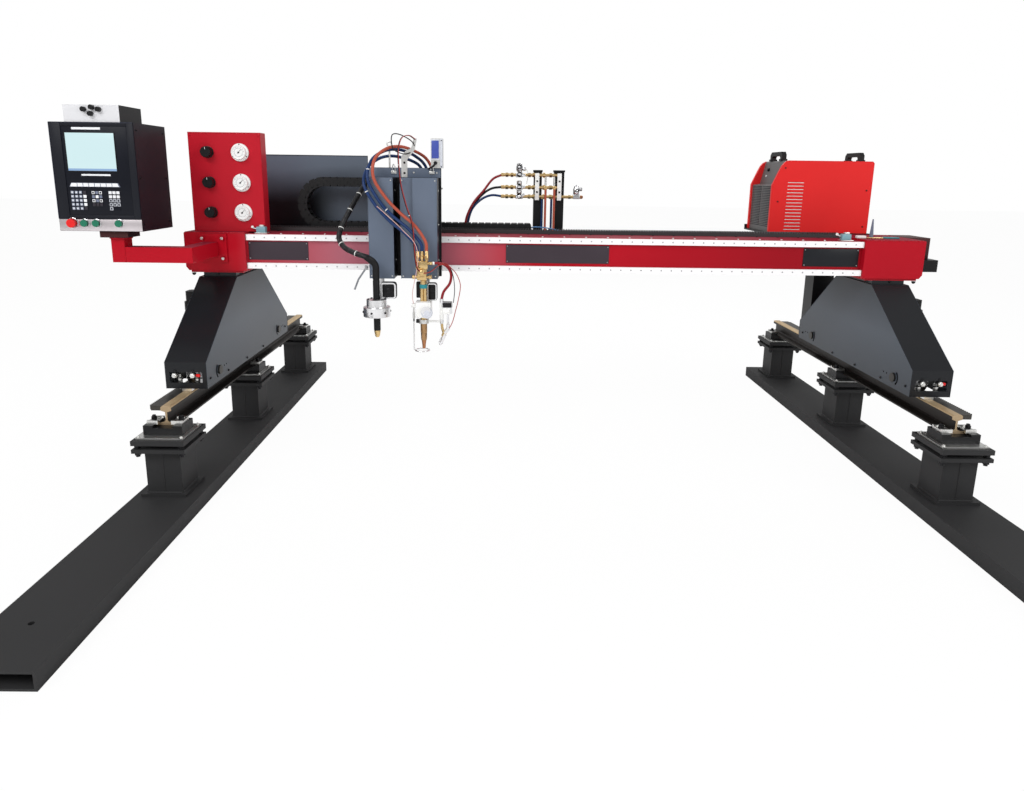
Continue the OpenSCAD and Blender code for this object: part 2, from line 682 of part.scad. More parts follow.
// End carriages
module arc_slot(r, w, a0, a1) {
    polygon(concat(arc([0, 0], r - w / 2, a0, a1, 10), arc([0, 0], r + w / 2, a1, a0, 10)));
}
module end_carriages() color([0.22, 0.24, 0.27]) both_sides() {
    x0 = rail_x - carriage_inner;
    inner = inset(carriage_outline, cover_t);
    open_down = concat([[inner[0][0], carriage_z - 50]], [for (i = [1:len(inner) - 2]) inner[i]],
        [[inner[5][0], carriage_z - 50]]);
    window_z = carriage_z + 26;
    difference() {
        union() {
            yz_plate(x0, carriage_w) polygon(carriage_outline);
            block([x0 + side_plate_t, 150, carriage_top_z], [x0 + carriage_w - 16, 470, neck_top_z]);
        }
        yz_plate(x0 + side_plate_t, carriage_w - 2 * side_plate_t) polygon(open_down);
        block([x0 + 20, carriage_front_y - 1, window_z],
            [x0 + carriage_w - 16, carriage_front_y + cover_t + 1, window_z + 46]);
        for (y = axle_y) {
            x_rod([x0 - 1, y, axle_z], axle_r + 0.1, carriage_w + 2);
            yz_plate(x0 - 1, carriage_w + 2) translate([y, axle_z]) arc_slot(34, 9, 125, 235);
            for (k = [1, 2]) x_rod([x0 - 1, y + 30 + 26 * k, axle_z + 4], 4, side_plate_t + 2);
        }
    }
    difference() {
        block([rail_x + carriage_outer + fit_gap, drive_y - 45, drive_plate_z],
            [drive_x + motor_w / 2 + 5, drive_y + 45, drive_plate_z + drive_plate_t]);
        z_rod([drive_x, drive_y, drive_plate_z - 1], 24, drive_plate_t + 2);
    }
}
module wheel_axles() color([0.6, 0.6, 0.62]) both_sides() for (y = axle_y) {
    x0 = rail_x - carriage_inner;
    x_rod([x0 - 6, y, axle_z], axle_r, carriage_w + 12);
    for (x = [x0 - 8, x0 + carriage_w]) x_rod([x, y, axle_z], axle_r + 5, 8);
    for (x = [wheel_inner_x - 14, wheel_inner_x - 14 + hub_l + 6 + 2 * fit_gap])
        x_rod([x - 6 - fit_gap, y, axle_z], axle_r + 8, 6);
}
module rail_scrapers() color([0.7, 0.7, 0.68]) both_sides() for (e = [0, 1]) {
    plate_z = carriage_z + 6;
    y0 = e == 0 ? carriage_front_y + cover_t : carriage_rear_y - cover_t - 44;
    difference() {
        block([rail_x - 74, y0, plate_z], [rail_x + 64, y0 + 44, plate_z + 6]);
        for (x = [-44, 32]) z_rod([rail_x + x, y0 + 22, plate_z - 1], 6 + bolt_play, 8);
    }
    block([rail_x - 20, y0 + 8, rail_top_z + 1], [rail_x + 20, y0 + 36, plate_z]);
    for (x = [-44, 32]) {
        z_rod([rail_x + x, y0 + 22, plate_z - 14], 6, 66);
        hex([rail_x + x, y0 + 22, plate_z - 8], 18, 8);
        hex([rail_x + x, y0 + 22, plate_z + 6], 18, 6);
        z_rod([rail_x + x, y0 + 22, plate_z + 12], 10, 20);
        hex([rail_x + x, y0 + 22, plate_z + 32], 18, 8);
    }
}
function cut_square(w, cut) = let(h = w / 2, c = w / 2 - cut)
    [[h, -c], [h, c], [c, h], [-c, h], [-h, c], [-h, -c], [-c, -h], [c, -h]];
module drive_motors() color([0.08, 0.08, 0.09]) both_sides()
    translate([drive_x, drive_y, drive_plate_z + drive_plate_t])
    difference() {
        union() {
            linear_extrude(12) polygon(cut_square(motor_w, 6));
            cylinder(r = motor_w / 2 - 2, h = gearbox_l);
            translate([0, 0, gearbox_l]) linear_extrude(drive_motor_l) polygon(cut_square(motor_w, 8));
            translate([0, 0, gearbox_l + drive_motor_l]) linear_extrude(encoder_l)
                polygon(cut_square(motor_w - 12, 8));
            translate([-18, motor_w / 2 - 1, gearbox_l + 120]) cube([36, 16, 50]);
        }
        translate([0, 0, -1]) cylinder(r = pinion_shaft_r + running_gap, h = 46);
    }
module wheel(y) color([0.45, 0.45, 0.46]) difference() {
    union() {
        x_rod([wheel_inner_x, y, axle_z], wheel_r + flange_h, flange_t);
        x_rod([wheel_inner_x, y, axle_z], wheel_r, flange_t + wheel_w);
        x_rod([wheel_inner_x - 14, y, axle_z], hub_r, hub_l);
    }
    x_rod([wheel_inner_x - 15, y, axle_z], axle_r + running_gap, hub_l + 2);
    for (x = [wheel_inner_x - 1, wheel_inner_x + flange_t + wheel_w - 8]) difference() {
        x_rod([x, y, axle_z], wheel_r - 10, 9);
        x_rod([x - 1, y, axle_z], hub_r, 11);
    }
}
module wheel_front_left() mirror([1, 0, 0]) wheel(axle_y[0]);
module wheel_front_right() wheel(axle_y[0]);
module wheel_rear_left() mirror([1, 0, 0]) wheel(axle_y[1]);
module wheel_rear_right() wheel(axle_y[1]);
module pinion_right() color([0.5, 0.5, 0.52]) translate([drive_x, drive_y, rack_z]) {
    rotate([0, 0, -90]) linear_extrude(rack_face) polygon(pinion_points());
    cylinder(r = pinion_shaft_r, h = drive_plate_z + drive_plate_t + 42 - rack_z);
}
module pinion_left() mirror([1, 0, 0]) pinion_right();

// Beam
module main_beam() color([0.72, 0.05, 0.08]) difference() {
    block([-beam_half, beam_front_y, beam_z], [beam_half, beam_back_y, beam_top_z]);
    block([-beam_half - 1, beam_front_y + beam_wall, beam_z + beam_wall],
        [beam_half + 1, beam_back_y - beam_wall, beam_top_z - beam_wall]);
}
module beam_ends() color([0.72, 0.05, 0.08]) both_sides() difference() {
    end_x = beam_half + end_block_l;
    union() {
        xz_plate(end_block_front_y, end_block_back_y - end_block_front_y) polygon([
            [beam_half, end_block_z], [beam_half, end_block_top_z],
                [end_x - end_block_bend, end_block_top_z],
            [end_x, end_block_top_z - end_block_bend], [end_x, end_block_z + 18],
                [end_x - 14, end_block_z],
        ]);
        block([beam_half + 18, end_block_front_y + 10, neck_top_z],
            [beam_half + end_block_l - 20, end_block_back_y - 10, end_block_z]);
    }
    block([beam_half + beam_wall, end_block_front_y + beam_wall, end_block_z + beam_wall],
        [beam_half + end_block_l - beam_wall, end_block_back_y - beam_wall, end_block_top_z - beam_wall]);
    block([beam_half - 1, beam_front_y + beam_wall, beam_z + beam_wall],
        [beam_half + beam_wall + 1, beam_back_y - beam_wall, beam_top_z - beam_wall]);
}
module cross_rails() color([0.85, 0.85, 0.85]) {
    for (z = guide_z)
        block([-beam_half + 2, guide_front_y, z - guide_h / 2],
            [beam_half - 2, beam_front_y, z + guide_h / 2]);
    x0 = -beam_half + 20;
    translate([saddle_x, cross_rack_y + rack_face, cross_pitch_z]) rotate([90, 0, 0])
        linear_extrude(rack_face)
        polygon(rack_points(x0 - saddle_x, -x0 - saddle_x));
}

// Cable chain and its tray
module chain_tray() color([0.09, 0.1, 0.11]) {
    x1 = beam_half - 1;
    block([-x1, beam_back_y, tray_floor_z - tray_t], [x1, tray_back_y, tray_floor_z]);
    block([-x1, beam_back_y, beam_top_z - 60], [x1, beam_back_y + tray_t, tray_floor_z + tray_edge_h]);
    block([-x1, tray_back_y - tray_t, tray_floor_z - tray_t],
        [x1, tray_back_y, tray_floor_z + tray_edge_h]);
    block([-beam_half - guard_reach[0], tray_back_y - tray_t, tray_floor_z - tray_t],
        [-beam_half + guard_reach[1], tray_back_y, tray_floor_z + guard_h]);
}
module chain_run(x0, x1, z) color([0.04, 0.04, 0.04])
    block([x0, chain_front_y, z - chain_h / 2], [x1, chain_front_y + chain_w, z + chain_h / 2]);
module chain_lower_run() chain_run(chain_bend_x + fit_gap, chain_fixed_x, chain_low_z);
module chain_upper_run() chain_run(chain_bend_x + fit_gap, saddle_x, chain_high_z);
module chain_bend() color([0.04, 0.04, 0.04]) difference() {
    y_rod([chain_bend_x, chain_front_y, chain_low_z + chain_bend_r], chain_bend_r + chain_h / 2, chain_w);
    y_rod([chain_bend_x, chain_front_y - 1, chain_low_z + chain_bend_r], chain_bend_r - chain_h / 2,
        chain_w + 2);
    block([chain_bend_x, chain_front_y - 1, chain_low_z - chain_h],
        [chain_bend_x + 200, chain_front_y + chain_w + 1, chain_high_z + chain_h]);
}

// Torch carriage
module saddle() color([0.12, 0.13, 0.14]) {
    block([saddle_left_x, saddle_front_y, saddle_z],
        [saddle_left_x + saddle_w, saddle_back_y, saddle_top_z]);
    block([saddle_x - 125, saddle_back_y + fit_gap, bracket_z],
        [saddle_x + 145, chain_front_y + chain_w + 5, bracket_z + bracket_t]);
    difference() {
        block([saddle_x - 50, motor_plate_y, cross_axis_z - motor_w / 2],
            [saddle_x + 50, motor_plate_y + motor_plate_t, bracket_z - fit_gap]);
        y_rod([saddle_x, motor_plate_y - 1, cross_axis_z], 24, motor_plate_t + 2);
    }
    block([saddle_x + 61, 190, bracket_z + bracket_t + fit_gap], [saddle_x + 127, 240, hose_orange[0][2]]);
    block([saddle_x - 125, 155, bracket_z + bracket_t + fit_gap],
        [saddle_x - 90, 195, lead_route[0][2] + 18]);
    for (x = [-110, 110], z = guide_z) difference() {
        block([saddle_x + x - block_l / 2, saddle_back_y + fit_gap, z - guide_h / 2 - 16],
            [saddle_x + x + block_l / 2, beam_front_y - 3, z + guide_h / 2 + 16]);
        block([saddle_x + x - block_l, guide_front_y - fit_gap, z - guide_h / 2 - fit_gap],
            [saddle_x + x + block_l, beam_front_y, z + guide_h / 2 + fit_gap]);
    }
}
module cover_shell(outline) difference() {
    translate([0, 0, cover_z]) linear_extrude(lifter_cover_h) polygon(outline);
    translate([0, 0, cover_z - 1]) linear_extrude(lifter_cover_h - lifter_cover_t + 1)
        polygon([for (p = inset(outline, lifter_cover_t)) [p[0],
            p[1] > saddle_front_y - 5 ? saddle_front_y + 1 : p[1]]]);
}
module lifter_covers() color([0.25, 0.28, 0.31]) {
    xl = cover_left_x;
    xm = saddle_x;
    step_x = 55;
    step_y = 15;
    cover_shell([[xl, cover_front_y], [xl, saddle_front_y], [xl + lifter_cover_w[0], saddle_front_y],
        [xl + lifter_cover_w[0], cover_front_y]]);
    cover_shell([[xm, cover_front_y + step_y], [xm, saddle_front_y],
        [xm + lifter_cover_w[1], saddle_front_y],
        [xm + lifter_cover_w[1], cover_front_y], [xm + step_x, cover_front_y],
            [xm + step_x, cover_front_y + step_y]]);
}
module cross_motor() color([0.08, 0.08, 0.09]) difference() {
    translate([saddle_x, motor_plate_y, cross_axis_z]) rotate([90, 0, 0]) union() {
        linear_extrude(cross_motor_l) polygon(cut_square(motor_w, 7));
        cylinder(r = motor_w / 2 - 3, h = cross_motor_l + 8);
    }
    y_rod([saddle_x, motor_plate_y - 34, cross_axis_z], pinion_shaft_r + running_gap, 36);
}
module cross_pinion() color([0.5, 0.5, 0.52]) {
    translate([saddle_x, cross_rack_y + rack_face, cross_axis_z]) rotate([90, 0, 0])
        linear_extrude(rack_face) polygon(pinion_points());
    y_rod([saddle_x, motor_plate_y - 32, cross_axis_z], pinion_shaft_r, cross_rack_y - motor_plate_y + 33);
}
module hose_bracket() color([0.55, 0.57, 0.6]) {
    strap_t = 5;
    xz_plate(saddle_front_y - strap_t, strap_t) polygon([
        [-712, 1328], [-685, 1328], [-685, 1406], [-669, 1425], [-651, 1448], [-641, 1498], [-655, 1498],
        [-666, 1457], [-692, 1443], [-712, 1420],
    ]);
    z_rod([-766, saddle_front_y + 8, saddle_top_z], 4, 95);
    translate([-766, saddle_front_y + 8, saddle_top_z + 103]) rotate([90, 0, 0]) rotate_extrude()
        translate([10, 0]) circle(r = 3);
    block([-577, saddle_front_y - 14, saddle_top_z], [-525, saddle_back_y + 20, saddle_top_z + 129]);
}
module torch_hoses() {
    color([0.85, 0.3, 0.15]) cord_tube(hose_orange, 14);
    color([0.1, 0.2, 0.45]) cord_tube(hose_blue, 14);
    color([0.1, 0.2, 0.45]) cord_tube(hose_blue_twin, 14);
}
module plasma_lead() color([0.05, 0.05, 0.05]) cord_tube(lead_route, 24, 10);

// Torches
module rounded_block(low, high, r) {
    block([low[0] + r, low[1], low[2]], [high[0] - r, high[1], high[2]]);
    block([low[0], low[1], low[2] + r], [high[0], high[1], high[2] - r]);
    for (x = [low[0] + r, high[0] - r], z = [low[2] + r, high[2] - r])
        y_rod([x, low[1], z], r, high[1] - low[1]);
}
module plasma_lifter() color([0.75, 0.75, 0.76]) {
    low = holder_z[0];
    x = plasma_x;
    difference() {
        union() {
            z_rod([x, torch_y, low], plasma_ring_r, ring_h[0]);
            z_rod([x, torch_y, low + ring_h[0]], plasma_ring_r - 14, ring_h[1]);
            block([x - 20, torch_y, low + foot_low], [x + 20, lifter_bar_y[1], low + foot_high]);
        }
        z_rod([x, torch_y, low - 1], plasma_r + fit_gap, ring_h[0] + ring_h[1] + 2);
    }
    block([x - lifter_bar_half, lifter_bar_y[0], low + foot_low],
        [x + lifter_bar_half, lifter_bar_y[1], lifter_bar_top_z]);
    rounded_block([x + lifter_bar_half - 1, torch_y + 22, low + 74], [x + 82, torch_y + 64, low + 146],
        14);
}
module plasma_torch() color([0.05, 0.05, 0.05]) {
    tip_h = 24;
    z_rod([plasma_x, torch_y, plasma_tip_z + tip_h], plasma_r, plasma_l - tip_h);
    translate([plasma_x, torch_y, plasma_tip_z]) cylinder(r1 = plasma_r / 2, r2 = plasma_r - 3, h = tip_h);
}
module oxy_lifter() color([0.85, 0.85, 0.85]) {
    low = holder_z[1];
    x = oxy_x;
    difference() {
        union() {
            block([x - 32, torch_y - 30, low], [x + 34, torch_y + 32, low + 70]);
            y_rod([x + 14, torch_y - 44, low + 34], 20, 15);
            block([x - 20, torch_y + 20, low + foot_low], [x + 20, lifter_bar_y[1], low + foot_high]);
        }
        z_rod([x, torch_y, low - 1], oxy_r + fit_gap, 72);
    }
    block([x - lifter_bar_half, lifter_bar_y[0], low + foot_low],
        [x + lifter_bar_half, lifter_bar_y[1], lifter_bar_top_z]);
    rounded_block([x + lifter_bar_half - 1, torch_y + 26, low + 68], [x + 56, torch_y + 64, low + 146],
        12);
}
module oxy_torch() color([0.75, 0.55, 0.25]) {
    z = oxy_head_z;
    knob_r = 8;
    z_rod([oxy_x, torch_y, oxy_tip_z + oxy_taper_h], oxy_r, z - oxy_neck_h - oxy_tip_z - oxy_taper_h);
    translate([oxy_x, torch_y, oxy_tip_z]) cylinder(r1 = oxy_r / 3, r2 = oxy_r - 4, h = oxy_taper_h);
    z_rod([oxy_x, torch_y, z - oxy_neck_h], oxy_r - 4, oxy_neck_h);
    block([oxy_x - 32, torch_y - 14, z], [oxy_x + 20, torch_y + 14, z + oxy_head_h]);
    x_rod([oxy_x - 50, torch_y, z + 14], knob_r, 90);
    y_rod([oxy_x, torch_y - 32, z + 40], knob_r, 20);
    for (x = hose_tail_x) z_rod([x, torch_y, z + oxy_head_h], 6, hose_tail_z - z - oxy_head_h);
    x_rod([oxy_x + 20, torch_y, igniter_route[0][2]], 5, igniter_route[0][0] - oxy_x - 20);
}
module igniter() color([0.8, 0.78, 0.7]) {
    rod_z = igniter_rod_z;
    ring_z = oxy_tip_z - 9;
    sensor_x = oxy_x - 44;
    sensor_r = 2.5;
    x = igniter_x;
    top_z = igniter_route[len(igniter_route) - 1][2];
    difference() {
        z_rod([oxy_x, torch_y, rod_z - 9], oxy_r + 7, 18);
        z_rod([oxy_x, torch_y, rod_z - 10], oxy_r + fit_gap, 20);
    }
    x_rod([oxy_x + oxy_r + 4, torch_y, rod_z], 3.5, x - oxy_x - oxy_r - 4);
    z_rod([x, torch_y, rod_z - 6], 8, top_z - rod_z + 6);
    block([x + 4, torch_y - 14, rod_z + 36], [x + 46, torch_y + 14, rod_z + 88]);
    z_rod([x + 28, torch_y, rod_z - 34], 4, 72);
    hull() {
        z_rod([x + 28, torch_y, rod_z - 40], 6, 14);
        z_rod([x + 12, torch_y, rod_z - 60], 6, 10);
    }
    hull() {
        z_rod([x + 12, torch_y, rod_z - 64], 8, 6);
        z_rod([x - 6, torch_y, rod_z - 108], 6, 6);
    }
    z_rod([sensor_x, torch_y, ring_z], sensor_r, holder_z[1] + 56 - ring_z);
    block([sensor_x - 5, torch_y - 5, holder_z[1] + 50], [oxy_x - 32, torch_y + 5, holder_z[1] + 58]);
    x_rod([sensor_x, torch_y, ring_z], sensor_r, 10);
    translate([sensor_x + 6 + sensor_ring_r, torch_y, ring_z]) rotate_extrude()
        translate([sensor_ring_r, 0]) circle(r = 3, $fn = 24);
}
module igniter_hose() color([0.6, 0.08, 0.08]) cord_tube(igniter_route, 12);

// Gas panel and manifold
module gas_panel() color([0.78, 0.06, 0.1]) {
    c = gas_panel_corner;
    s = gas_panel_size;
    t = 2;
    difference() {
        block([c[0], c[1], gas_panel_z], [c[0] + s[0], c[1] + s[1], gas_panel_z + s[2]]);
        block([c[0] + t, c[1] + t, gas_panel_z + t],
            [c[0] + s[0] - t, c[1] + s[1] + 1, gas_panel_z + s[2] - t]);
        for (z = gauge_rows) {
            y_rod([regulator_x, c[1] - 1, gas_panel_z + z], regulator_shaft_r + running_gap, 4);
            y_rod([gauge_x, c[1] - 1, gas_panel_z + z], 6 + fit_gap, 4);
        }
    }
}
module pressure_gauges() color([0.9, 0.9, 0.9]) for (z = gauge_rows) {
    y_rod([gauge_x, gas_panel_corner[1] - gauge_t, gas_panel_z + z], gauge_r, gauge_t);
    y_rod([gauge_x, gas_panel_corner[1] - 1, gas_panel_z + z], 6, 24);
}
module regulator_knob(i) color([0.04, 0.04, 0.04]) {
    y_rod([regulator_x, gas_panel_corner[1] - fit_gap - regulator_knob_t, gas_panel_z + gauge_rows[i]],
        regulator_knob_r, regulator_knob_t);
    y_rod([regulator_x, gas_panel_corner[1] - 1, gas_panel_z + gauge_rows[i]], regulator_shaft_r, 30);
}
module regulator_knob_1() regulator_knob(0);
module regulator_knob_2() regulator_knob(1);
module regulator_knob_3() regulator_knob(2);
module gas_fittings() color([0.75, 0.58, 0.25]) {
    back_y = gas_panel_corner[1] + 2;
    left_x = manifold_left[0][0];
    right_x = [156, 39, 39];
    strap_t = 3;
    nipple_r = 7.5;
    for (z = gauge_rows) difference() {
        y_rod([regulator_x, back_y, gas_panel_z + z], 24, 45);
        y_rod([regulator_x, back_y - 1, gas_panel_z + z], regulator_shaft_r + running_gap, 34);
    }
    for (i = [0:2]) {
        x_rod([left_x, pipe_y, pipe_z[i]], pipe_r, right_x[i] - left_x);
        for (x = [-230, -120])
            block([x - 11, pipe_y - 11, pipe_z[i] - 11], [x + 11, pipe_y + 11, pipe_z[i] + 11]);
        block([-189, pipe_y - 24, pipe_z[i] - 12], [-149, pipe_y + 16, pipe_z[i] + 34]);
    }
    block([111, pipe_y - 24, pipe_z[0] - 12], [151, pipe_y + 16, pipe_z[0] + 80]);
    for (i = [0, 1]) {
        block([post_x[i] + 8, pipe_y - pipe_r - strap_t, pipe_z[0] - 18],
            [post_x[i] + post_w[i] - 8, pipe_y - pipe_r + 1, pipe_z[2] + 10]);
        high = manifold_drops[i][0];
        block([high[0] - nipple_r, high[1] - nipple_r, high[2]],
            [high[0] + nipple_r, pipe_y + 2, high[2] + 18]);
        z_rod([high[0], pipe_y, pipe_z[1]], 5, pipe_z[2] - pipe_z[1]);
        low = manifold_drops[i + 2][0];
        z_rod(low, nipple_r, pipe_z[0] - low[2]);
    }
}
module rear_brackets() color([0.06, 0.06, 0.06]) {
    cap_t = 10;
    for (i = [0, 1]) {
        block([post_x[i], tray_back_y, post_foot_z],
            [post_x[i] + post_w[i], tray_back_y + post_d, post_top_z]);
        block([post_x[i] - 3, tray_back_y - 3, post_top_z],
            [post_x[i] + post_w[i] + 3, tray_back_y + post_d + 3, post_top_z + cap_t]);
        for (z = pipe_z) difference() {
            block([post_x[i] + 8, pipe_y, z - 14], [post_x[i] + post_w[i] - 8, tray_back_y, z + 14]);
            x_rod([post_x[i], pipe_y, z], pipe_r + fit_gap, post_w[i]);
        }
    }
    x0 = source_corner[0] - source_panel_t - 5;
    x1 = source_corner[0] + source_size[0] + source_panel_t + 5;
    y1 = source_corner[1] + source_size[1] + 8;
    stand_x = rail_x - carriage_inner;
    block([x0, tray_back_y, source_z - shelf_t], [x1, y1, source_z]);
    block([x0, y1 - 4, source_z], [x1, y1, source_z + 22]);
    // The stand's foot follows the slope of the end carriage
    slope = (carriage_z + rear_nose_h - carriage_top_z) / (carriage_rear_y - carriage_top_y[1]);
    foot = [for (y = stand_y) carriage_top_z + (y - carriage_top_y[1]) * slope + fit_gap];
    top = source_z - shelf_t;
    difference() {
        yz_plate(stand_x, stand_w) polygon([[stand_y[0], foot[0]], [stand_y[0], top],
            [stand_y[1], top], [stand_y[1], foot[1]]]);
        yz_plate(stand_x + 6, stand_w - 12) polygon([[stand_y[0] + 6, foot[0] - 50],
            [stand_y[0] + 6, top - 6], [stand_y[1] - 6, top - 6], [stand_y[1] - 6, foot[1] - 50]]);
    }
    end_x = beam_half + end_block_l;
    block([end_x, 300, end_block_z + 78], [end_x + 114, end_block_back_y, end_block_top_z]);
    block([end_x, 250, end_block_z + 20], [end_x + 136, 430, end_block_z + 78]);
}
module manifold_hoses() {
    color([0.75, 0.3, 0.15]) cord_tube(manifold_left, 12);
    color([0.1, 0.1, 0.1]) cord_tube(manifold_left_mid, 12);
    color([0.1, 0.2, 0.5]) cord_tube(manifold_left_low, 12);
    for (i = [0:3]) color(i < 2 ? [0.75, 0.2, 0.15] : [0.1, 0.2, 0.5]) cord_tube(manifold_drops[i], 12);
}

// Power source
// Side outline: upright front, sloping upper part, rounded top corner
function source_outline() = let(
    x0 = source_corner[0],
    x1 = source_corner[0] + source_size[0],
    z1 = source_z + source_size[2],
    r = 34
) concat(
    [[x0, source_z], [x0, z1 - source_slope[1] - r - 22]],
    [[x0 + source_slope[0], z1 - r - 22]],
    [[x0 + source_slope[0] + 14, z1 - 26], [x0 + source_slope[0] + 26, z1 - 11],
        [x0 + source_slope[0] + 42, z1]],
    [[x1 - 8, z1], [x1, z1 - 8], [x1, source_z]]
);
// The front panel between the cheeks: louvre part, ledge and control face, moved back by d
function panel_outline(d) = let(
    x0 = source_corner[0] + d,
    x1 = source_corner[0] + source_size[0],
    ledge_z = source_top_z - source_slope[1] - 50 - d
) [
    [x0, source_z], [x0, ledge_z], [x0 + 38, ledge_z + 6], [x0 + 62, source_top_z - 8],
    [x0 + 66, source_top_z], [x1, source_top_z], [x1, source_z],
];
module power_source_case() color([0.8, 0.08, 0.08]) {
    y = [source_corner[1], source_corner[1] + source_size[1]];
    cheek = source_cheek_t;
    x1 = source_corner[0] + source_size[0];
    difference() {
        xz_plate(y[0], y[1] - y[0]) polygon(source_outline());
        xz_plate(y[0] + cheek, y[1] - y[0] - 2 * cheek) difference() {
            translate([source_corner[0] - 1, source_z - 1])
                square([source_size[0] / 2, source_size[2] + 2]);
            polygon(panel_outline(source_recess));
        }
        block([x1 - source_recess, y[0] + cheek, source_z - 1],
            [x1 + 1, y[1] - cheek, source_top_z - cheek]);
    }
}
module power_source_panels() color([0.3, 0.3, 0.32]) {
    y = [source_corner[1] + source_cheek_t + fit_gap,
        source_corner[1] + source_size[1] - source_cheek_t - fit_gap];
    x1 = source_corner[0] + source_size[0] - source_recess;
    xz_plate(y[0], y[1] - y[0]) difference() {
        intersection() {
            polygon(panel_outline(source_recess - source_panel_t));
            translate([source_corner[0], source_z]) square([source_recess + 66, source_size[2]]);
        }
        polygon(panel_outline(source_recess));
    }
    block([x1, y[0], source_z], [x1 + source_panel_t, y[1], source_top_z - source_cheek_t - fit_gap]);
}
module power_source_handles() color([0.04, 0.04, 0.04])
    for (x = [source_corner[0] + 84, source_corner[0] + source_size[0] - 23]) {
        y = [source_corner[1] + 90, source_corner[1] + source_size[1] - 74];
        leg = 26;
        yz_plate(x - handle_bar_r, 2 * handle_bar_r) difference() {
            polygon([
                [y[0], source_top_z], [y[0], source_top_z + handle_h - 16],
                    [y[0] + 16, source_top_z + handle_h],
                [y[1] - 16, source_top_z + handle_h], [y[1], source_top_z + handle_h - 16],
                    [y[1], source_top_z],
            ]);
            polygon([
                [y[0] + leg, source_top_z - 1], [y[0] + leg, source_top_z + handle_h - 30],
                [y[0] + leg + 8, source_top_z + handle_h - 22],
                    [y[1] - leg - 8, source_top_z + handle_h - 22],
                [y[1] - leg, source_top_z + handle_h - 30], [y[1] - leg, source_top_z - 1],
            ]);
        }
        for (q = [y[0], y[1] - leg])
            block([x - 18, q, source_top_z], [x + 18, q + leg, source_top_z + 10]);
    }

// Control console
module console_arm() color([0.75, 0.05, 0.09]) {
    w = arm_tube_w;
    px = arm_axis[0] - arm_post_w / 2;
    py = arm_axis[1] - w / 2;
    difference() {
        union() {
            block([px, py, arm_z], [px + arm_post_w, py + w, arm_disc_z]);
            block([px, py, arm_z], [arm_corner_x, py + w, arm_z + w]);
            block([arm_corner_x - w, py, arm_z],
                [arm_corner_x, end_block_front_y - arm_plate[1], arm_z + w]);
            block([arm_plate_corner[0], end_block_front_y - arm_plate[1], arm_plate_corner[1]],
                [arm_plate_corner[0] + arm_plate[0], end_block_front_y,
                    arm_plate_corner[1] + arm_plate[2]]);
            z_rod([arm_axis[0], arm_axis[1], arm_disc_z], 45, 6);
            for (x = [17, arm_plate[0] - 17], z = [18, arm_plate[2] - 22])
                y_rod([arm_plate_corner[0] + x, end_block_front_y - arm_plate[1] - 8,
                    arm_plate_corner[1] + z], 9, 9);
        }
        block([px + arm_wall, py + arm_wall, arm_z - 1],
            [px + arm_post_w - arm_wall, py + w - arm_wall, arm_disc_z - 34]);
        block([px + arm_wall, py + arm_wall, arm_z + arm_wall],
            [arm_corner_x - arm_wall, py + w - arm_wall, arm_z + w - arm_wall]);
        block([arm_corner_x - w + arm_wall, py + arm_wall, arm_z + arm_wall],
            [arm_corner_x - arm_wall, end_block_front_y - arm_plate[1], arm_z + w - arm_wall]);
        z_rod([arm_axis[0], arm_axis[1], arm_disc_z - 40], swivel_pin_r + running_gap, 50);
    }
}
module console_case() color([0.09, 0.09, 0.1]) {
    c = console_corner;
    s = console_size;
    t = console_wall;
    low = arm_disc_z + 6 + fit_gap;
    difference() {
        block(c, c + s);
        block([c[0] + t, c[1] - 1, c[2] + t], [c[0] + s[0] - t, c[1] + s[1] - t, c[2] + s[2] - t]);
    }
    block([arm_axis[0] - 62, arm_axis[1] - 50, low], [arm_axis[0] + 56, arm_axis[1] + 50, c[2]]);
    z_rod([arm_axis[0], arm_axis[1], arm_disc_z - 30], swivel_pin_r, low - arm_disc_z + 31);
}
module key_block(x0, z0, cols, rows, pitch, size) {
    for (i = [0:cols - 1], j = [0:rows - 1]) block(
        [x0 + i * pitch[0], console_corner[1] - panel_t - 1.5, z0 + j * pitch[1]],
        [x0 + i * pitch[0] + size[0], console_corner[1] - panel_t + 1, z0 + j * pitch[1] + size[1]]
    );
}
module control_panel() color([0.15, 0.16, 0.18]) {
    c = console_corner;
    s = console_size;
    y = c[1] - panel_t;
    screen_low = [63, 248];
    screen_high = [262, 400];
    row_z = 184;
    difference() {
        block([c[0], y, c[2]], [c[0] + s[0], c[1], c[2] + s[2]]);
        block([c[0] + screen_low[0], y - 1, c[2] + screen_low[1]],
            [c[0] + screen_high[0], y + 1.5, c[2] + screen_high[1]]);
        for (x = concat([stop_button_x], start_button_x))
            y_rod([x, y - 1, strip_z], button_shaft_r + running_gap, panel_t + 2);
    }
    xz_plate(y - 1, 2) translate([c[0], c[2] + row_z])
        polygon([[61, 0], [69, 14], [261, 14], [269, 0]]);
    key_block(c[0] + 70, c[2] + row_z + 1, 8, 1, [24, 15], [20, 10]);
    key_block(c[0] + 62, c[2] + 88, 4, 5, [17, 16.5], [13, 12]);
    key_block(c[0] + 149, c[2] + 104, 3, 4, [15, 16.5], [12, 12]);
    key_block(c[0] + 219, c[2] + 88, 3, 5, [16, 16.5], [13, 12]);
}
module panel_button(x, r, h) {
    y0 = console_corner[1] - panel_t;
    y_rod([x, y0 - button_travel - 1 - h, strip_z], r, h);
    y_rod([x, y0 - button_travel - 2, strip_z], button_shaft_r, panel_t + button_travel + 14);
}
module stop_button() color([0.8, 0.05, 0.05]) panel_button(stop_button_x, 18, 14);
module start_button_1() color([0.1, 0.6, 0.25]) panel_button(start_button_x[0], 14, 8);
module start_button_2() color([0.1, 0.6, 0.25]) panel_button(start_button_x[1], 14, 8);
module start_button_3() color([0.1, 0.6, 0.25]) panel_button(start_button_x[2], 14, 8);
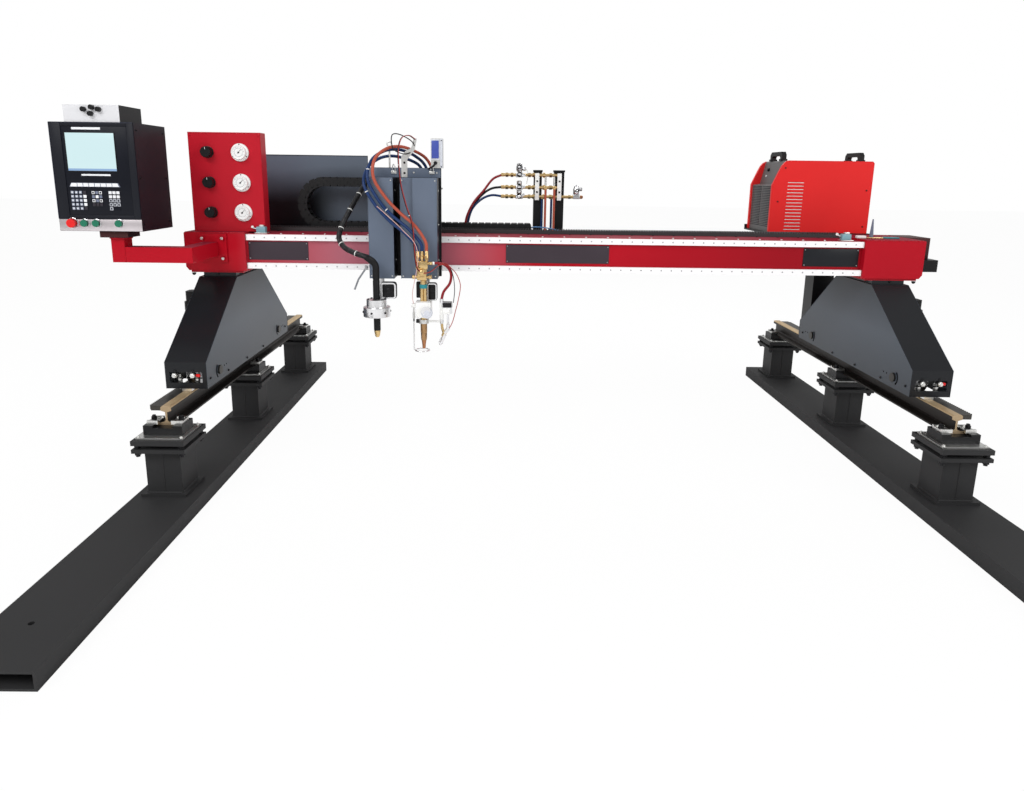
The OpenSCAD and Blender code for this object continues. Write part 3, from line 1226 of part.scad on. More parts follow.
module height_control_box() color([0.85, 0.85, 0.83]) {
    y = console_corner[1];
    z = console_top_z;
    s = control_box_size;
    t = 2;
    difference() {
        block([box_x, y, z], [box_x + s[0], y + s[1], z + s[2]]);
        block([box_x + t, y + t, z - 1], [box_x + s[0] - t, y + s[1] - t, z + s[2] - t]);
        for (k = small_knob_at) y_rod([k[0], y - 1, z + k[1]], small_knob_shaft_r + running_gap, t + 2);
    }
}
module small_knob(i) color([0.03, 0.03, 0.03]) {
    k = small_knob_at[i];
    y_rod([k[0], console_corner[1] - fit_gap - 14, console_top_z + k[1]], small_knob_r, 14);
    y_rod([k[0], console_corner[1] - 1, console_top_z + k[1]], small_knob_shaft_r, 9);
}
module small_knob_1() small_knob(0);
module small_knob_2() small_knob(1);
module small_knob_3() small_knob(2);
module small_knob_4() small_knob(3);

floor_beams();
rail_pedestals();
track_bolts();
rail_chairs();
rail_clips();
crane_rails();
drive_racks();
end_carriages();
wheel_axles();
rail_scrapers();
drive_motors();
main_beam();
beam_ends();
cross_rails();
chain_tray();
chain_lower_run();
gas_panel();
pressure_gauges();
console_arm();
rear_brackets();
gas_fittings();
power_source_case();
power_source_panels();
power_source_handles();
manifold_hoses();
wheel_front_left();
wheel_front_right();
wheel_rear_left();
wheel_rear_right();
pinion_left();
pinion_right();
saddle();
lifter_covers();
cross_motor();
hose_bracket();
chain_upper_run();
torch_hoses();
plasma_lead();
cross_pinion();
chain_bend();
plasma_lifter();
plasma_torch();
oxy_lifter();
oxy_torch();
igniter();
igniter_hose();
console_case();
control_panel();
height_control_box();
stop_button();
start_button_1();
start_button_2();
start_button_3();
regulator_knob_1();
regulator_knob_2();
regulator_knob_3();
small_knob_1();
small_knob_2();
small_knob_3();
small_knob_4();
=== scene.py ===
"""Gantry cutting machine on two floor rails, dressed for its photograph.

Sizes are in millimetres in the machine's own frame: X to the operator's right, Y away, Z up from the floor.
"""

import math

import bmesh
import bpy
from mathutils import Matrix, Vector


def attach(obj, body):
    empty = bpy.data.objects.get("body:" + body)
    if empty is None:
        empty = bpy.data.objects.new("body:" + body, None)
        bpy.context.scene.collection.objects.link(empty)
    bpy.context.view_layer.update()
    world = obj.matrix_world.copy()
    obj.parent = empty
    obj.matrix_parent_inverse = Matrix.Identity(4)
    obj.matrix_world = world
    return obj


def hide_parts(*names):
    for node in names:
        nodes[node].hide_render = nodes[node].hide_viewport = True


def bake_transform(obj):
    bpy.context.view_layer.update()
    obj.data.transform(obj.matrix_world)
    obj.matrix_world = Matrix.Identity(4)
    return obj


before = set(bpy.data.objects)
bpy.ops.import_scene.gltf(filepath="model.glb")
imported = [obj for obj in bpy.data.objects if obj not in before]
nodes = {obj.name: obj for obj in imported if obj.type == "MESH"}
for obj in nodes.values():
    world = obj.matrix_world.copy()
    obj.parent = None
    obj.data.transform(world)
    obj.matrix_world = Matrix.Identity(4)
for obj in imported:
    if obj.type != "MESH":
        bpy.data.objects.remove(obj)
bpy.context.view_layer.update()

# Directions

UP = (0, 0, 1)
DOWN = (0, 0, -1)
FRONT = (0, -1, 0)
BACK = (0, 1, 0)
LEFT = (-1, 0, 0)
RIGHT = (1, 0, 0)
SIDES = (-1, 1)
CORNERS = tuple((a, b) for a in SIDES for b in SIDES)

# Places that several pieces share

RAIL_X = 1600
PEDESTAL_Y = (-450, 460, 1370)
CARRIAGE_X = 1592
COVER_X = 1594
BEAM_TOP = 1058
BEAM_END_X = 1457
END_TOP = 1066
TRAY_FLOOR = 1056.7
PANEL_ROWS = (1154, 1292, 1430)
GAUGE_X = -1475
REGULATOR_X = -1624
MANIFOLD_Y = 540
MANIFOLD_ROWS = (1236, 1283, 1345)
TORCH_Y = -90
PLASMA_X = -806
OXY_X = -598
IGNITER_X = -518


# Shader sums and finishes


class Level:
    """A shader value that ordinary sums can be written with."""

    def __init__(self, finish, socket):
        self.finish = finish
        self.socket = socket

    def sum(self, operation, first, second=None):
        values = [first] if second is None else [first, second]
        node = self.finish.node("ShaderNodeMath", {"operation": operation}, dict(enumerate(values)))
        return Level(self.finish, node.outputs[0])

    def __add__(self, other):
        return self.sum("ADD", self, other)

    def __sub__(self, other):
        return self.sum("SUBTRACT", self, other)

    def __rsub__(self, other):
        return self.sum("SUBTRACT", other, self)

    def __mul__(self, other):
        return self.sum("MULTIPLY", self, other)

    def __truediv__(self, other):
        return self.sum("DIVIDE", self, other)

    def __gt__(self, other):
        return self.sum("GREATER_THAN", self, other)

    def __lt__(self, other):
        return self.sum("LESS_THAN", self, other)

    def __abs__(self):
        return self.sum("ABSOLUTE", self)

    def at_most(self, other):
        return self.sum("MINIMUM", self, other)

    def at_least(self, other):
        return self.sum("MAXIMUM", self, other)

    def clipped(self):
        """The value kept between 0 and 1."""
        return self.at_least(0.0).at_most(1.0)

    __radd__ = __add__


class Finish:
    """One material, with the shader that its variation feeds."""

    def __init__(self, name, rough=0.5, metal=0.0, coat=0.0, gloss=0.3):
        self.material = bpy.data.materials.new(name)
        self.material.use_nodes = True
        self.tree = self.material.node_tree
        self.shader = self.tree.nodes["Principled BSDF"]
        self.shader.inputs["Roughness"].default_value = rough
        self.shader.inputs["Metallic"].default_value = metal
        self.shader.inputs["Coat Weight"].default_value = coat
        self.shader.inputs["Coat Roughness"].default_value = 0.12
        self.shader.inputs["Specular IOR Level"].default_value = gloss

    def node(self, kind, settings, sockets):
        node = self.tree.nodes.new(kind)
        for key, value in settings.items():
            setattr(node, key, value)
        for key, value in sockets.items():
            self.join(node.inputs[key], value)
        return node

    def join(self, socket, value):
        if isinstance(value, Level):
            value = value.socket
        if isinstance(value, bpy.types.NodeSocket):
            self.tree.links.new(value, socket)
        else:
            socket.default_value = value

    def place(self):
        """The point on the piece at rest, in metres."""
        return self.node("ShaderNodeTexCoord", {}, {}).outputs["Object"]

    def along(self, axis):
        parts = self.node("ShaderNodeSeparateXYZ", {}, {0: self.place()})
        return Level(self, parts.outputs[axis])

    def facing(self, axis):
        """How much the surface faces along an axis of the machine."""
        normal = self.node("ShaderNodeTexCoord", {}, {}).outputs["Normal"]
        parts = self.node("ShaderNodeSeparateXYZ", {}, {0: normal})
        return Level(self, parts.outputs[axis])

    def noise(self, scale, detail, stretch=None):
        where = self.place()
        if stretch:
            where = self.node("ShaderNodeMapping", {}, {"Vector": where, "Scale": stretch}).outputs[0]
        node = self.node("ShaderNodeTexNoise", {}, {"Vector": where, "Scale": scale, "Detail": detail})
        return Level(self, node.outputs["Fac"])

    def mix(self, mask, first, second):
        """first where the mask is 0 and second where it is 1."""
        first, second = [(*c, 1.0) if isinstance(c, tuple) and len(c) == 3 else c for c in (first, second)]
        node = self.node("ShaderNodeMix", {"data_type": "RGBA"}, {0: mask, 6: first, 7: second})
        return node.outputs[2]

    def set(self, **sockets):
        for key, value in sockets.items():
            if isinstance(value, tuple) and len(value) == 3:
                value = (*value, 1.0)
            self.join(self.shader.inputs[key.replace("_", " ")], value)

    def raise_by(self, height, distance, strength=0.6):
        bump = self.node("ShaderNodeBump", {}, {"Height": height, "Distance": distance, "Strength": strength})
        self.join(self.shader.inputs["Normal"], bump.outputs[0])
        return self

    def grain(self, distance, scale=420.0):
        """A fine texture, such as orange peel."""
        return self.raise_by(self.noise(scale, 1.0), distance)

    def mottled(self, mask, colour, share):
        """The colour, darker and paler by a share of itself."""
        return self.mix(mask, shade(colour, 1 - share), shade(colour, 1 + share))


def shade(colour, share):
    return tuple(min(1.0, c * share) for c in colour)


def paint(name, colour, rough=0.4, mottle=0.12, peel=0.00012, coat=0.0, gloss=0.2):
    """Sprayed paint with faint patches and orange peel."""
    f = Finish(name, rough, 0.0, coat, gloss)
    patches = f.noise(3.0, 3.0)
    f.set(Base_Color=f.mottled(patches, colour, mottle), Roughness=rough - 0.06 + patches * 0.12)
    return f.grain(peel)


def metal(name, colour, rough):
    """Bare metal with fine machining streaks."""
    f = Finish(name, rough, 1.0)
    lines = f.noise(60.0, 2.0, (1, 1, 40))
    tone = f.mottled(f.noise(8.0, 2.0), colour, 0.15)
    f.set(Base_Color=tone, Roughness=rough - 0.08 + lines * 0.16)
    return f.raise_by(lines, 0.00008)


def moulded(name, colour, rough=0.45, grain=700.0, depth=0.00006, gloss=0.22):
    """Moulded plastic or rubber with a fine grain."""
    f = Finish(name, rough, gloss=gloss)
    patches = f.noise(9.0, 2.0)
    f.set(Base_Color=f.mottled(patches, colour, 0.12), Roughness=rough - 0.05 + patches * 0.1)
    return f.grain(depth, grain)


RED = (0.42, 0.004, 0.014)
BLACK = (0.007, 0.007, 0.008)


def beam_finish():
    """Crimson paint, paled about the torch carriage by a painted sheen and deepened towards the right by
    painted shade.
    """
    f = Finish("beam red", 0.3, 0.0, 0.08, 0.1)
    patches = f.noise(2.4, 3.0)
    up = f.facing("Z") > 0.7
    # Painted sheen: a pale pink glow on the front faces about the torch carriage's resting place, which stays
    # on the beam when the carriage moves.
    painted_sheen = (1.4 - abs(f.along("X") + 0.8) / 0.5).clipped() * 0.8
    # Painted shade: the red deepens towards the right end of the beam.
    painted_shade_right = ((f.along("X") - 0.3) / 0.8).clipped() * (f.along("X") < BEAM_END_X / 1000)
    plain = f.mix(painted_shade_right, f.mottled(patches, RED, 0.07), shade(RED, 0.72))
    front = f.mix(painted_sheen, plain, (0.45, 0.17, 0.22))
    f.set(
        Base_Color=f.mix(up, front, (0.26, 0.012, 0.03)),
        Roughness=0.26 + patches * 0.1 + up * 0.3,
        Coat_Weight=0.08 - up * 0.08,
    )
    return f.grain(0.00012)


def guide_finish():
    """White ground guides under a dark toothed rack."""
    f = Finish("ground guide", 0.3, gloss=0.5)
    patches = f.noise(3.0, 3.0)
    rack = f.along("Z") > 1.0575
    white = f.mix(patches, (0.9, 0.89, 0.9), (0.96, 0.95, 0.96))
    f.set(Base_Color=f.mix(rack, white, (0.03, 0.028, 0.03)), Roughness=0.27 + patches * 0.08 + rack * 0.2)
    return f.grain(0.00012)


def sheet_blue_finish():
    """Blue-grey folded sheet with a slow cloudy sheen."""
    f = Finish("lifter cover blue grey", 0.34, 0.0, 0.1, 0.2)
    clouds = f.noise(5.0, 3.0)
    front = f.mix(clouds, (0.096, 0.122, 0.17), (0.148, 0.18, 0.24))
    # Painted shade: the faces along X, the covers' folded sides, are near black.
    side = (0.012, 0.014, 0.02)
    f.set(Base_Color=f.mix(abs(f.facing("X")) > 0.7, front, side), Roughness=0.3 + clouds * 0.1)
    return f.grain(0.0001)


def guard_finish():
    """Black guard sheet that pales to blue grey at its top; the paler patch inside the chain's loop is a
    painted sheen.
    """
    f = Finish("guard sheet", 0.42, 0.0, 0.1, 0.2)
    rise = ((f.along("Z") - 1.2) / 0.17 + f.noise(3.0, 3.0) * 0.6 - 0.3).clipped()
    # Painted sheen: the sheet pales inside the chain's loop.
    beside = ((f.along("X") + 1.24) / 0.14).clipped() * (f.along("Z") < 1.3)
    rise = rise.at_least(beside * 0.85)
    f.set(Base_Color=f.mix(rise, (0.008, 0.009, 0.012), (0.11, 0.132, 0.17)), Roughness=0.42 - rise * 0.1)
    return f.grain(0.0001, 300.0)


def control_box_finish():
    """White front on a black box."""
    f = Finish("control box", 0.4, gloss=0.25)
    front = f.facing("Y") < -0.7
    f.set(Base_Color=f.mix(front, (0.0065, 0.0065, 0.008), (0.66, 0.66, 0.68)))
    return f.grain(0.0001)


beam_red = beam_finish()
panel_red = paint("gas panel red", (0.47, 0.011, 0.023), 0.3, 0.08, coat=0.08, gloss=0.1)
case_red = paint("power source red", (0.74, 0.022, 0.022), 0.34, 0.05, coat=0.05, gloss=0.1)
black_paint = paint("black paint", BLACK, 0.36, 0.2, coat=0.05)
satin_black = paint("satin black sheet", (0.008, 0.009, 0.012), 0.4, 0.3, coat=0.05)
guard_sheet = guard_finish()
floor_paint = paint("floor beam charcoal", (0.028, 0.028, 0.029), 0.62, 0.16, 0.0003)
pedestal_paint = paint("pedestal charcoal", (0.026, 0.026, 0.027), 0.55, 0.2, 0.0003)
cover_blue = sheet_blue_finish()
console_dark = paint("console dark", (0.007, 0.008, 0.013), 0.42, 0.1, 0.0004)
# Painted highlight: a blue grey line on the console's lit edges.
console_edge_highlight = paint("console edge highlight", (0.02, 0.024, 0.045), 0.4, 0.1)
white_box = paint("white paint", (0.86, 0.86, 0.85), 0.4, 0.03)
control_box = control_box_finish()
# A violet grey copy of the black name plate finish: a painted sheen.
plate_with_painted_sheen = paint("name plate with painted sheen", (0.045, 0.033, 0.042), 0.4, 0.2)
shelf_brown = paint("dark red brown", (0.05, 0.012, 0.012), 0.45, 0.2)
grey_plastic = moulded("grey moulding", (0.12, 0.115, 0.115))
grille_grey = moulded("grille slats", (0.17, 0.16, 0.16))
black_plastic = moulded("black moulding", (0.007, 0.007, 0.008), 0.42)
chain_nylon = moulded("chain nylon", (0.015, 0.015, 0.016), 0.34)
panel_film = moulded("panel film", (0.006, 0.007, 0.012), 0.3, 1200.0, 0.00002, 0.15)
key_grey = moulded("key grey", (0.16, 0.18, 0.25), 0.4)
key_dark = moulded("key dark", (0.03, 0.026, 0.035), 0.4)
key_white = moulded("key white", (0.8, 0.81, 0.84), 0.4)
zinc = metal("zinc plate", (0.72, 0.72, 0.7), 0.34)
steel = metal("machined steel", (0.45, 0.45, 0.46), 0.3)
gear_steel = metal("oiled gear steel", (0.07, 0.066, 0.06), 0.42)
dark_steel = metal("blackened steel", (0.03, 0.03, 0.032), 0.42)
aluminium = metal("turned aluminium", (0.8, 0.8, 0.81), 0.26)
ground_guide = guide_finish()
strip_silver = metal("brushed strip", (0.66, 0.61, 0.63), 0.34)
brass = metal("turned brass", (0.66, 0.47, 0.22), 0.26)
bronze = metal("worn bronze", (0.42, 0.25, 0.12), 0.3)
chrome = metal("bright plate", (0.82, 0.82, 0.84), 0.12)
copper = metal("copper tip", (0.45, 0.2, 0.1), 0.3)
stop_red = moulded("stop red", (0.72, 0.02, 0.02), 0.3)
start_green = moulded("start green", (0.02, 0.17, 0.1), 0.3)
ceramic = moulded("white ceramic", (0.85, 0.85, 0.83), 0.35)
clear_white = moulded("milky plastic", (0.6, 0.62, 0.68), 0.25, gloss=0.5)
label_blue = moulded("blue plastic", (0.06, 0.09, 0.38), 0.35)
insulator_grey = moulded("grey insulator", (0.22, 0.23, 0.25), 0.5)
hose_orange = moulded("orange hose", (0.42, 0.085, 0.05), 0.42)
hose_blue = moulded("blue hose", (0.012, 0.035, 0.12), 0.4)
hose_red = moulded("dark red hose", (0.24, 0.012, 0.018), 0.4)
hose_black = moulded("black hose", (0.008, 0.008, 0.01), 0.4)
cable_blue = moulded("pale blue cable", (0.1, 0.22, 0.42), 0.4)
wire_red = moulded("red wire", (0.35, 0.03, 0.025), 0.45)
wire_pink = moulded("pale pink wire", (0.7, 0.45, 0.42), 0.45)
tie_white = moulded("white tie", (0.8, 0.8, 0.78), 0.4)
valve_teal = moulded("teal ring", (0.03, 0.24, 0.27), 0.35)
switch_teal = moulded("switch teal", (0.2, 0.35, 0.4), 0.35)


def carriage_finish():
    """Grey-blue sides between black folded covers. The sides darken towards the top, a painted shade under
    the beam, and are darker towards the lower edge.
    """
    f = Finish("end carriage", 0.34, 0.0, 0.1, 0.2)
    side = abs(f.facing("X")) > 0.7
    patches = f.noise(2.2, 3.0)
    # Painted shade: the grey sides darken towards the top, under the beam; they are also darker towards the
    # lower edge.
    lift = ((0.86 - f.along("Z")) / 0.2).clipped()
    low = ((f.along("Z") - 0.44) / 0.2).clipped()
    grey = f.mix(patches, (0.052, 0.065, 0.082), (0.078, 0.094, 0.118))
    grey = f.mix(lift.at_most(low * 0.7 + 0.3), (0.026, 0.031, 0.038), grey)
    # Near black on all faces but the sides: the covers' black paint, which also stands in for the shade on
    # the sloped front.
    dark = f.mix(patches, (0.005, 0.006, 0.008), (0.012, 0.013, 0.016))
    f.set(Base_Color=f.mix(side, dark, grey), Roughness=0.28 + patches * 0.16)
    return f.grain(0.0001, 300.0)


def wrap_finish():
    """Black tape wound loosely round a lead."""
    f = Finish("wound tape", 0.4, gloss=0.3)
    folds = f.noise(55.0, 3.0)
    f.set(Base_Color=f.mix(folds, (0.005, 0.005, 0.006), (0.018, 0.018, 0.02)), Roughness=0.32 + folds * 0.2)
    return f.raise_by(folds, 0.006, 1.0)


def rail_finish():
    """A worn tan running surface over a black web and foot."""
    f = Finish("rail", 0.4, 0.55)
    top = f.along("Z") > 0.4085
    end = f.facing("Y") < -0.7
    scale = f.noise(22.0, 4.0)
    worn = f.mix(scale, (0.5, 0.36, 0.2), (0.62, 0.47, 0.28))
    sides = f.mix(scale, (0.01, 0.009, 0.009), (0.03, 0.024, 0.02))
    sawn = f.mix(scale, (0.38, 0.27, 0.16), (0.5, 0.38, 0.24))
    f.set(Base_Color=f.mix(end, f.mix(top, sides, worn), sawn), Roughness=0.34 + scale * 0.2)
    return f.raise_by(scale, 0.0003)


def screen_finish():
    """A lit screen with a darker bar along its lower edge."""
    f = Finish("lit screen", 0.2)
    bar = f.along("Z") < 1.347
    glow = f.mix(bar, (0.68, 0.9, 0.93), (0.28, 0.45, 0.72))
    f.set(Base_Color=(0.02, 0.02, 0.02), Emission_Color=glow, Emission_Strength=0.92)
    return f


carriage_grey = carriage_finish()
lead_wrap = wrap_finish()
rail_worn = rail_finish()
screen = screen_finish()

FINISH_NODES = {
    floor_paint: "floor_beams",
    pedestal_paint: "rail_pedestals",
    dark_steel: "track_bolts",
    black_paint: "rail_chairs rear_brackets saddle",
    zinc: "rail_clips rail_scrapers hose_bracket",
    rail_worn: "crane_rails",
    gear_steel: "drive_racks wheel_axles pinion_left pinion_right cross_pinion",
    carriage_grey: "end_carriages",
    black_plastic: "drive_motors power_source_handles cross_motor plasma_torch regulator_knob_1 "
                   "regulator_knob_2 regulator_knob_3 small_knob_1 small_knob_2 small_knob_3 "
                   "small_knob_4",
    beam_red: "main_beam beam_ends console_arm",
    ground_guide: "cross_rails",
    guard_sheet: "chain_tray",
    chain_nylon: "chain_lower_run chain_upper_run chain_bend",
    panel_red: "gas_panel",
    white_box: "pressure_gauges",
    brass: "gas_fittings oxy_torch",
    case_red: "power_source_case",
    grey_plastic: "power_source_panels",
    hose_black: "manifold_hoses plasma_lead",
    steel: "wheel_front_left wheel_front_right wheel_rear_left wheel_rear_right",
    cover_blue: "lifter_covers",
    hose_orange: "torch_hoses",
    aluminium: "plasma_lifter oxy_lifter igniter",
    hose_red: "igniter_hose",
    console_dark: "console_case",
    panel_film: "control_panel",
    control_box: "height_control_box",
    stop_red: "stop_button",
    start_green: "start_button_1 start_button_2 start_button_3",
}


def dress_frame():
    for finish, names in FINISH_NODES.items():
        for name in names.split():
            mesh = nodes[name].data
            mesh.materials.clear()
            mesh.materials.append(finish.material)


# Solids


def turned_to(axis):
    """A frame whose Z lies along the axis."""
    return Vector(axis).to_track_quat("Z", "Y").to_matrix().to_4x4()


def prism(low, high):
    """The points and faces of a solid between two outlines."""
    n = len(low)
    faces = [list(range(n)), [n + i for i in range(n)][::-1]]
    faces += [[i, n + i, n + (i + 1) % n, (i + 1) % n] for i in range(n)]
    return low + high, faces


class Piece:
    """Solids gathered into one object."""

    def __init__(self, name, body, slot):
        self.name = name
        self.body = body
        self.slot = slot
        self.points = []
        self.faces = []
        self.finish_of = []
        self.finishes = []

    def add(self, points, faces, finish):
        if finish not in self.finishes:
            self.finishes.append(finish)
        start = len(self.points)
        self.points += [Vector(p) / 1000 for p in points]
        self.faces += [[start + i for i in face] for face in faces]
        self.finish_of += [self.finishes.index(finish)] * len(faces)

    def block(self, low, high, finish, edge=1.5, tilt=None):
        """A box with softened edges; tilt turns it about its own centre."""
        middle = (Vector(low) + Vector(high)) / 2
        size = Vector(high) - Vector(low)
        solid = bmesh.new()
        bmesh.ops.create_cube(solid, size=1.0)
        bmesh.ops.scale(solid, vec=size, verts=solid.verts)
        edge = min(edge, min(size) * 0.4)
        bmesh.ops.bevel(
            solid, geom=list(solid.edges), offset=edge, segments=2, affect="EDGES", profile=0.5,
        )
        place = Matrix.Translation(middle) @ (tilt.to_4x4() if tilt else Matrix.Identity(4))
        solid.verts.index_update()
        faces = [[v.index for v in f.verts] for f in solid.faces]
        self.add([place @ v.co for v in solid.verts], faces, finish)
        solid.free()

    def turn(self, profile, at, axis, finish, sides=28):
        """A turned solid: the profile is radius and height along the axis, from end to end."""
        place = Matrix.Translation(Vector(at)) @ turned_to(axis)
        points, faces = [], []
        for r, h in profile:
            for i in range(sides):
                a = 2 * math.pi * i / sides
                points.append(place @ Vector((r * math.cos(a), r * math.sin(a), h)))
        for k in range(len(profile) - 1):
            for i in range(sides):
                j = (i + 1) % sides
                faces.append([k * sides + i, k * sides + j, (k + 1) * sides + j, (k + 1) * sides + i])
        last = (len(profile) - 1) * sides
        if profile[0][0]:
            faces.append(list(range(sides))[::-1])
        if profile[-1][0]:
            faces.append([last + i for i in range(sides)])
        self.add(points, faces, finish)

    def rod(self, start, end, r, finish, sides=24):
        """A round bar with softened ends."""
        way = Vector(end) - Vector(start)
        h = way.length
        edge = min(0.6, r * 0.4, h * 0.4)
        profile = [(r - edge, 0), (r, edge), (r, h - edge), (r - edge, h)]
        self.turn(profile, start, way, finish, sides)

    def bolt(self, at, axis, flats, finish, height=None, washer=True):
        """A hexagon head with its washer and a short thread end."""
        height = height or flats * 0.42
        r = flats / 2 / math.cos(math.pi / 6)
        if washer:
            self.turn([(flats * 0.62, 0), (flats * 0.62, flats * 0.08)], at, axis, finish, 20)
        self.turn([(r, 0), (r, height * 0.85), (r * 0.86, height)], at, axis, finish, 6)
        self.turn([(flats * 0.3, height * 0.9), (flats * 0.3, height * 1.35)], at, axis, finish, 12)

    def screw(self, at, axis, r, finish, sides=14):
        """A low round head with a socket."""
        self.turn([(r, 0), (r, r * 0.5), (r * 0.8, r * 0.75), (r * 0.45, r * 0.75), (r * 0.4, r * 0.35)],
                  at, axis, finish, sides)

    def tube(self, route, r, finish, sides=10):
        """A round bar bent along a route."""
        route = [Vector(p) for p in route]
        points, faces = [], []
        side = None
        for i, p in enumerate(route):
            way = (route[min(i + 1, len(route) - 1)] - route[max(i - 1, 0)]).normalized()
            if side is None:
                side = way.orthogonal().normalized()
            side = (side - way * side.dot(way)).normalized()
            other = way.cross(side)
            for k in range(sides):
                a = 2 * math.pi * k / sides
                points.append(p + (side * math.cos(a) + other * math.sin(a)) * r)
        for i in range(len(route) - 1):
            for k in range(sides):
                j = (k + 1) % sides
                faces.append([i * sides + k, i * sides + j, (i + 1) * sides + j, (i + 1) * sides + k])
        last = (len(route) - 1) * sides
        faces += [list(range(sides))[::-1], [last + k for k in range(sides)]]
        self.add(points, faces, finish)

    def sheet(self, outline, low, high, finish):
        """An upright plate between two places along Y; the outline holds its X and Z."""
        self.add(*prism([(x, low, z) for x, z in outline], [(x, high, z) for x, z in outline]), finish)

    def put(self, *replaced, angle=38):
        mesh = bpy.data.meshes.new(self.name)
        mesh.from_pydata(self.points, [], self.faces)
        for finish in self.finishes:
            mesh.materials.append(finish.material)
        mesh.polygons.foreach_set("material_index", self.finish_of)
        solid = bmesh.new()
        solid.from_mesh(mesh)
        bmesh.ops.recalc_face_normals(solid, faces=solid.faces)
        solid.to_mesh(mesh)
        solid.free()
        mesh.shade_smooth()
        mesh.set_sharp_from_angle(angle=math.radians(angle))
        thing = bpy.data.objects.new(self.name, mesh)
        bpy.context.scene.collection.objects.link(thing)
        if self.body:
            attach(thing, self.body)
        if replaced:
            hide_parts(*replaced)
        return thing


def circle(at, axis, r, count=32):
    """Points round a circle, the first one again at the end."""
    place = Matrix.Translation(Vector(at)) @ turned_to(axis)
    turns = [2 * math.pi * k / count for k in range(count + 1)]
    return [place @ Vector((r * math.cos(a), r * math.sin(a), 0)) for a in turns]


def smooth_route(points):
    """A smooth way through the points, with a few steps between each two."""
    steps = 6
    points = [Vector(p) for p in points]
    ends = [points[0] * 2 - points[1]] + points + [points[-1] * 2 - points[-2]]
    route = []
    for a, b, c, d in zip(ends, ends[1:], ends[2:], ends[3:]):
        for i in range(steps):
            t = i / steps
            bend = (2 * a - 5 * b + 4 * c - d) * t**2 + (3 * b - a - 3 * c + d) * t**3
            route.append(0.5 * (2 * b + (c - a) * t + bend))
    return route + [points[-1]]


def route_length(route):
    return sum((b - a).length for a, b in zip(route, route[1:]))


# Hoses, leads and wires


HOSE_ORANGE = [
    (-590, 215, 1340), (-590, 212, 1378), (-616, 180, 1420), (-664, 125, 1448), (-716, 78, 1462),
    (-768, 30, 1450), (-812, -24, 1402), (-814, -46, 1322), (-762, -48, 1238), (-700, -52, 1174),
    (-636, -70, 1122), (-588, -90, 1056), (-583, -90, 1010),
]
HOSE_BLUE = [
    (-612, 215, 1340), (-612, 214, 1370), (-634, 196, 1404), (-680, 150, 1436), (-730, 104, 1450),
    (-784, 52, 1440), (-830, -6, 1396), (-840, -44, 1316), (-790, -48, 1222), (-730, -52, 1158),
    (-664, -70, 1108), (-608, -90, 1048), (-603, -90, 1010),
]
HOSE_BLUE_TWIN = [
    (-634, 215, 1340), (-634, 214, 1364), (-654, 204, 1390), (-704, 180, 1412), (-764, 144, 1422),
    (-812, 84, 1408), (-850, 14, 1366), (-858, -40, 1294), (-808, -50, 1206), (-750, -52, 1142),
    (-684, -70, 1092), (-630, -90, 1040), (-623, -90, 1010),
]
LEAD = [
    (-830, 175, 1330), (-860, 168, 1322), (-890, 146, 1290), (-916, 110, 1240), (-945, 70, 1180),
    (-976, 35, 1110), (-984, 2, 1060), (-956, -34, 1022), (-904, -68, 1000), (-848, -88, 984),
    (-814, -90, 964), (-806, -90, 930),
]
IGNITER_HOSE = [
    (-560, -90, 960), (-538, -90, 961), (-502, -98, 955), (-476, -104, 922), (-480, -102, 876),
    (-508, -94, 836), (-518, -90, 803),
]
MANIFOLD_TOP = [
    (-256, 540, 1345), (-304, 540, 1322), (-350, 536, 1264), (-402, 524, 1202), (-437, 515, 1128),
    (-447, 512, TRAY_FLOOR),
]
MANIFOLD_MIDDLE = [
    (-256, 540, 1283), (-308, 541, 1275), (-354, 545, 1246), (-402, 549, 1190), (-430, 549, 1124),
    (-437, 549, TRAY_FLOOR),
]
MANIFOLD_LOW = [
    (-256, 540, 1236), (-312, 540, 1240), (-366, 536, 1216), (-414, 531, 1160),
    (-441, 530, TRAY_FLOOR),
]
CHAIN_CABLE = [
    (-104, 465, 1082), (-84, 465, 1085), (-40, 463, 1083), (10, 458, 1075), (48, 452, 1066),
    (72, 446, 1061),
]
MANIFOLD_DROPS = [
    [(x, y, z), (x, y, TRAY_FLOOR)]
    for x, y, z in ((-31, 524, 1273), (14, 524, 1273), (-47, 540, 1224), (1, 540, 1224))
]


def hose(name, body, route, r, finish, ties=(), node=None, follows=None,
         slot="hose_rubber"):
    """One hose. follows names the body of its far end, when that moves apart from the first; the hose is then
    put on no body and its place is baked into its mesh.
    """
    way = smooth_route(route)
    piece = Piece(name, None if follows else body, slot)
    piece.tube(way, r, finish, 14)
    for share in ties:
        i = int(share * (len(way) - 2))
        along = (way[i + 1] - way[i]).normalized()
        band = [(r + 0.2, -2), (r + 1.2, -1.6), (r + 1.2, 1.6), (r + 0.2, 2)]
        piece.turn(band, way[i], along, tie_white, 14)
    thing = piece.put(*([node] if node else []))
    if follows:
        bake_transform(thing)
    tuple(way[0] / 1000)
    route_length(way) / 1000
    [tuple(p / 1000) for p in way]


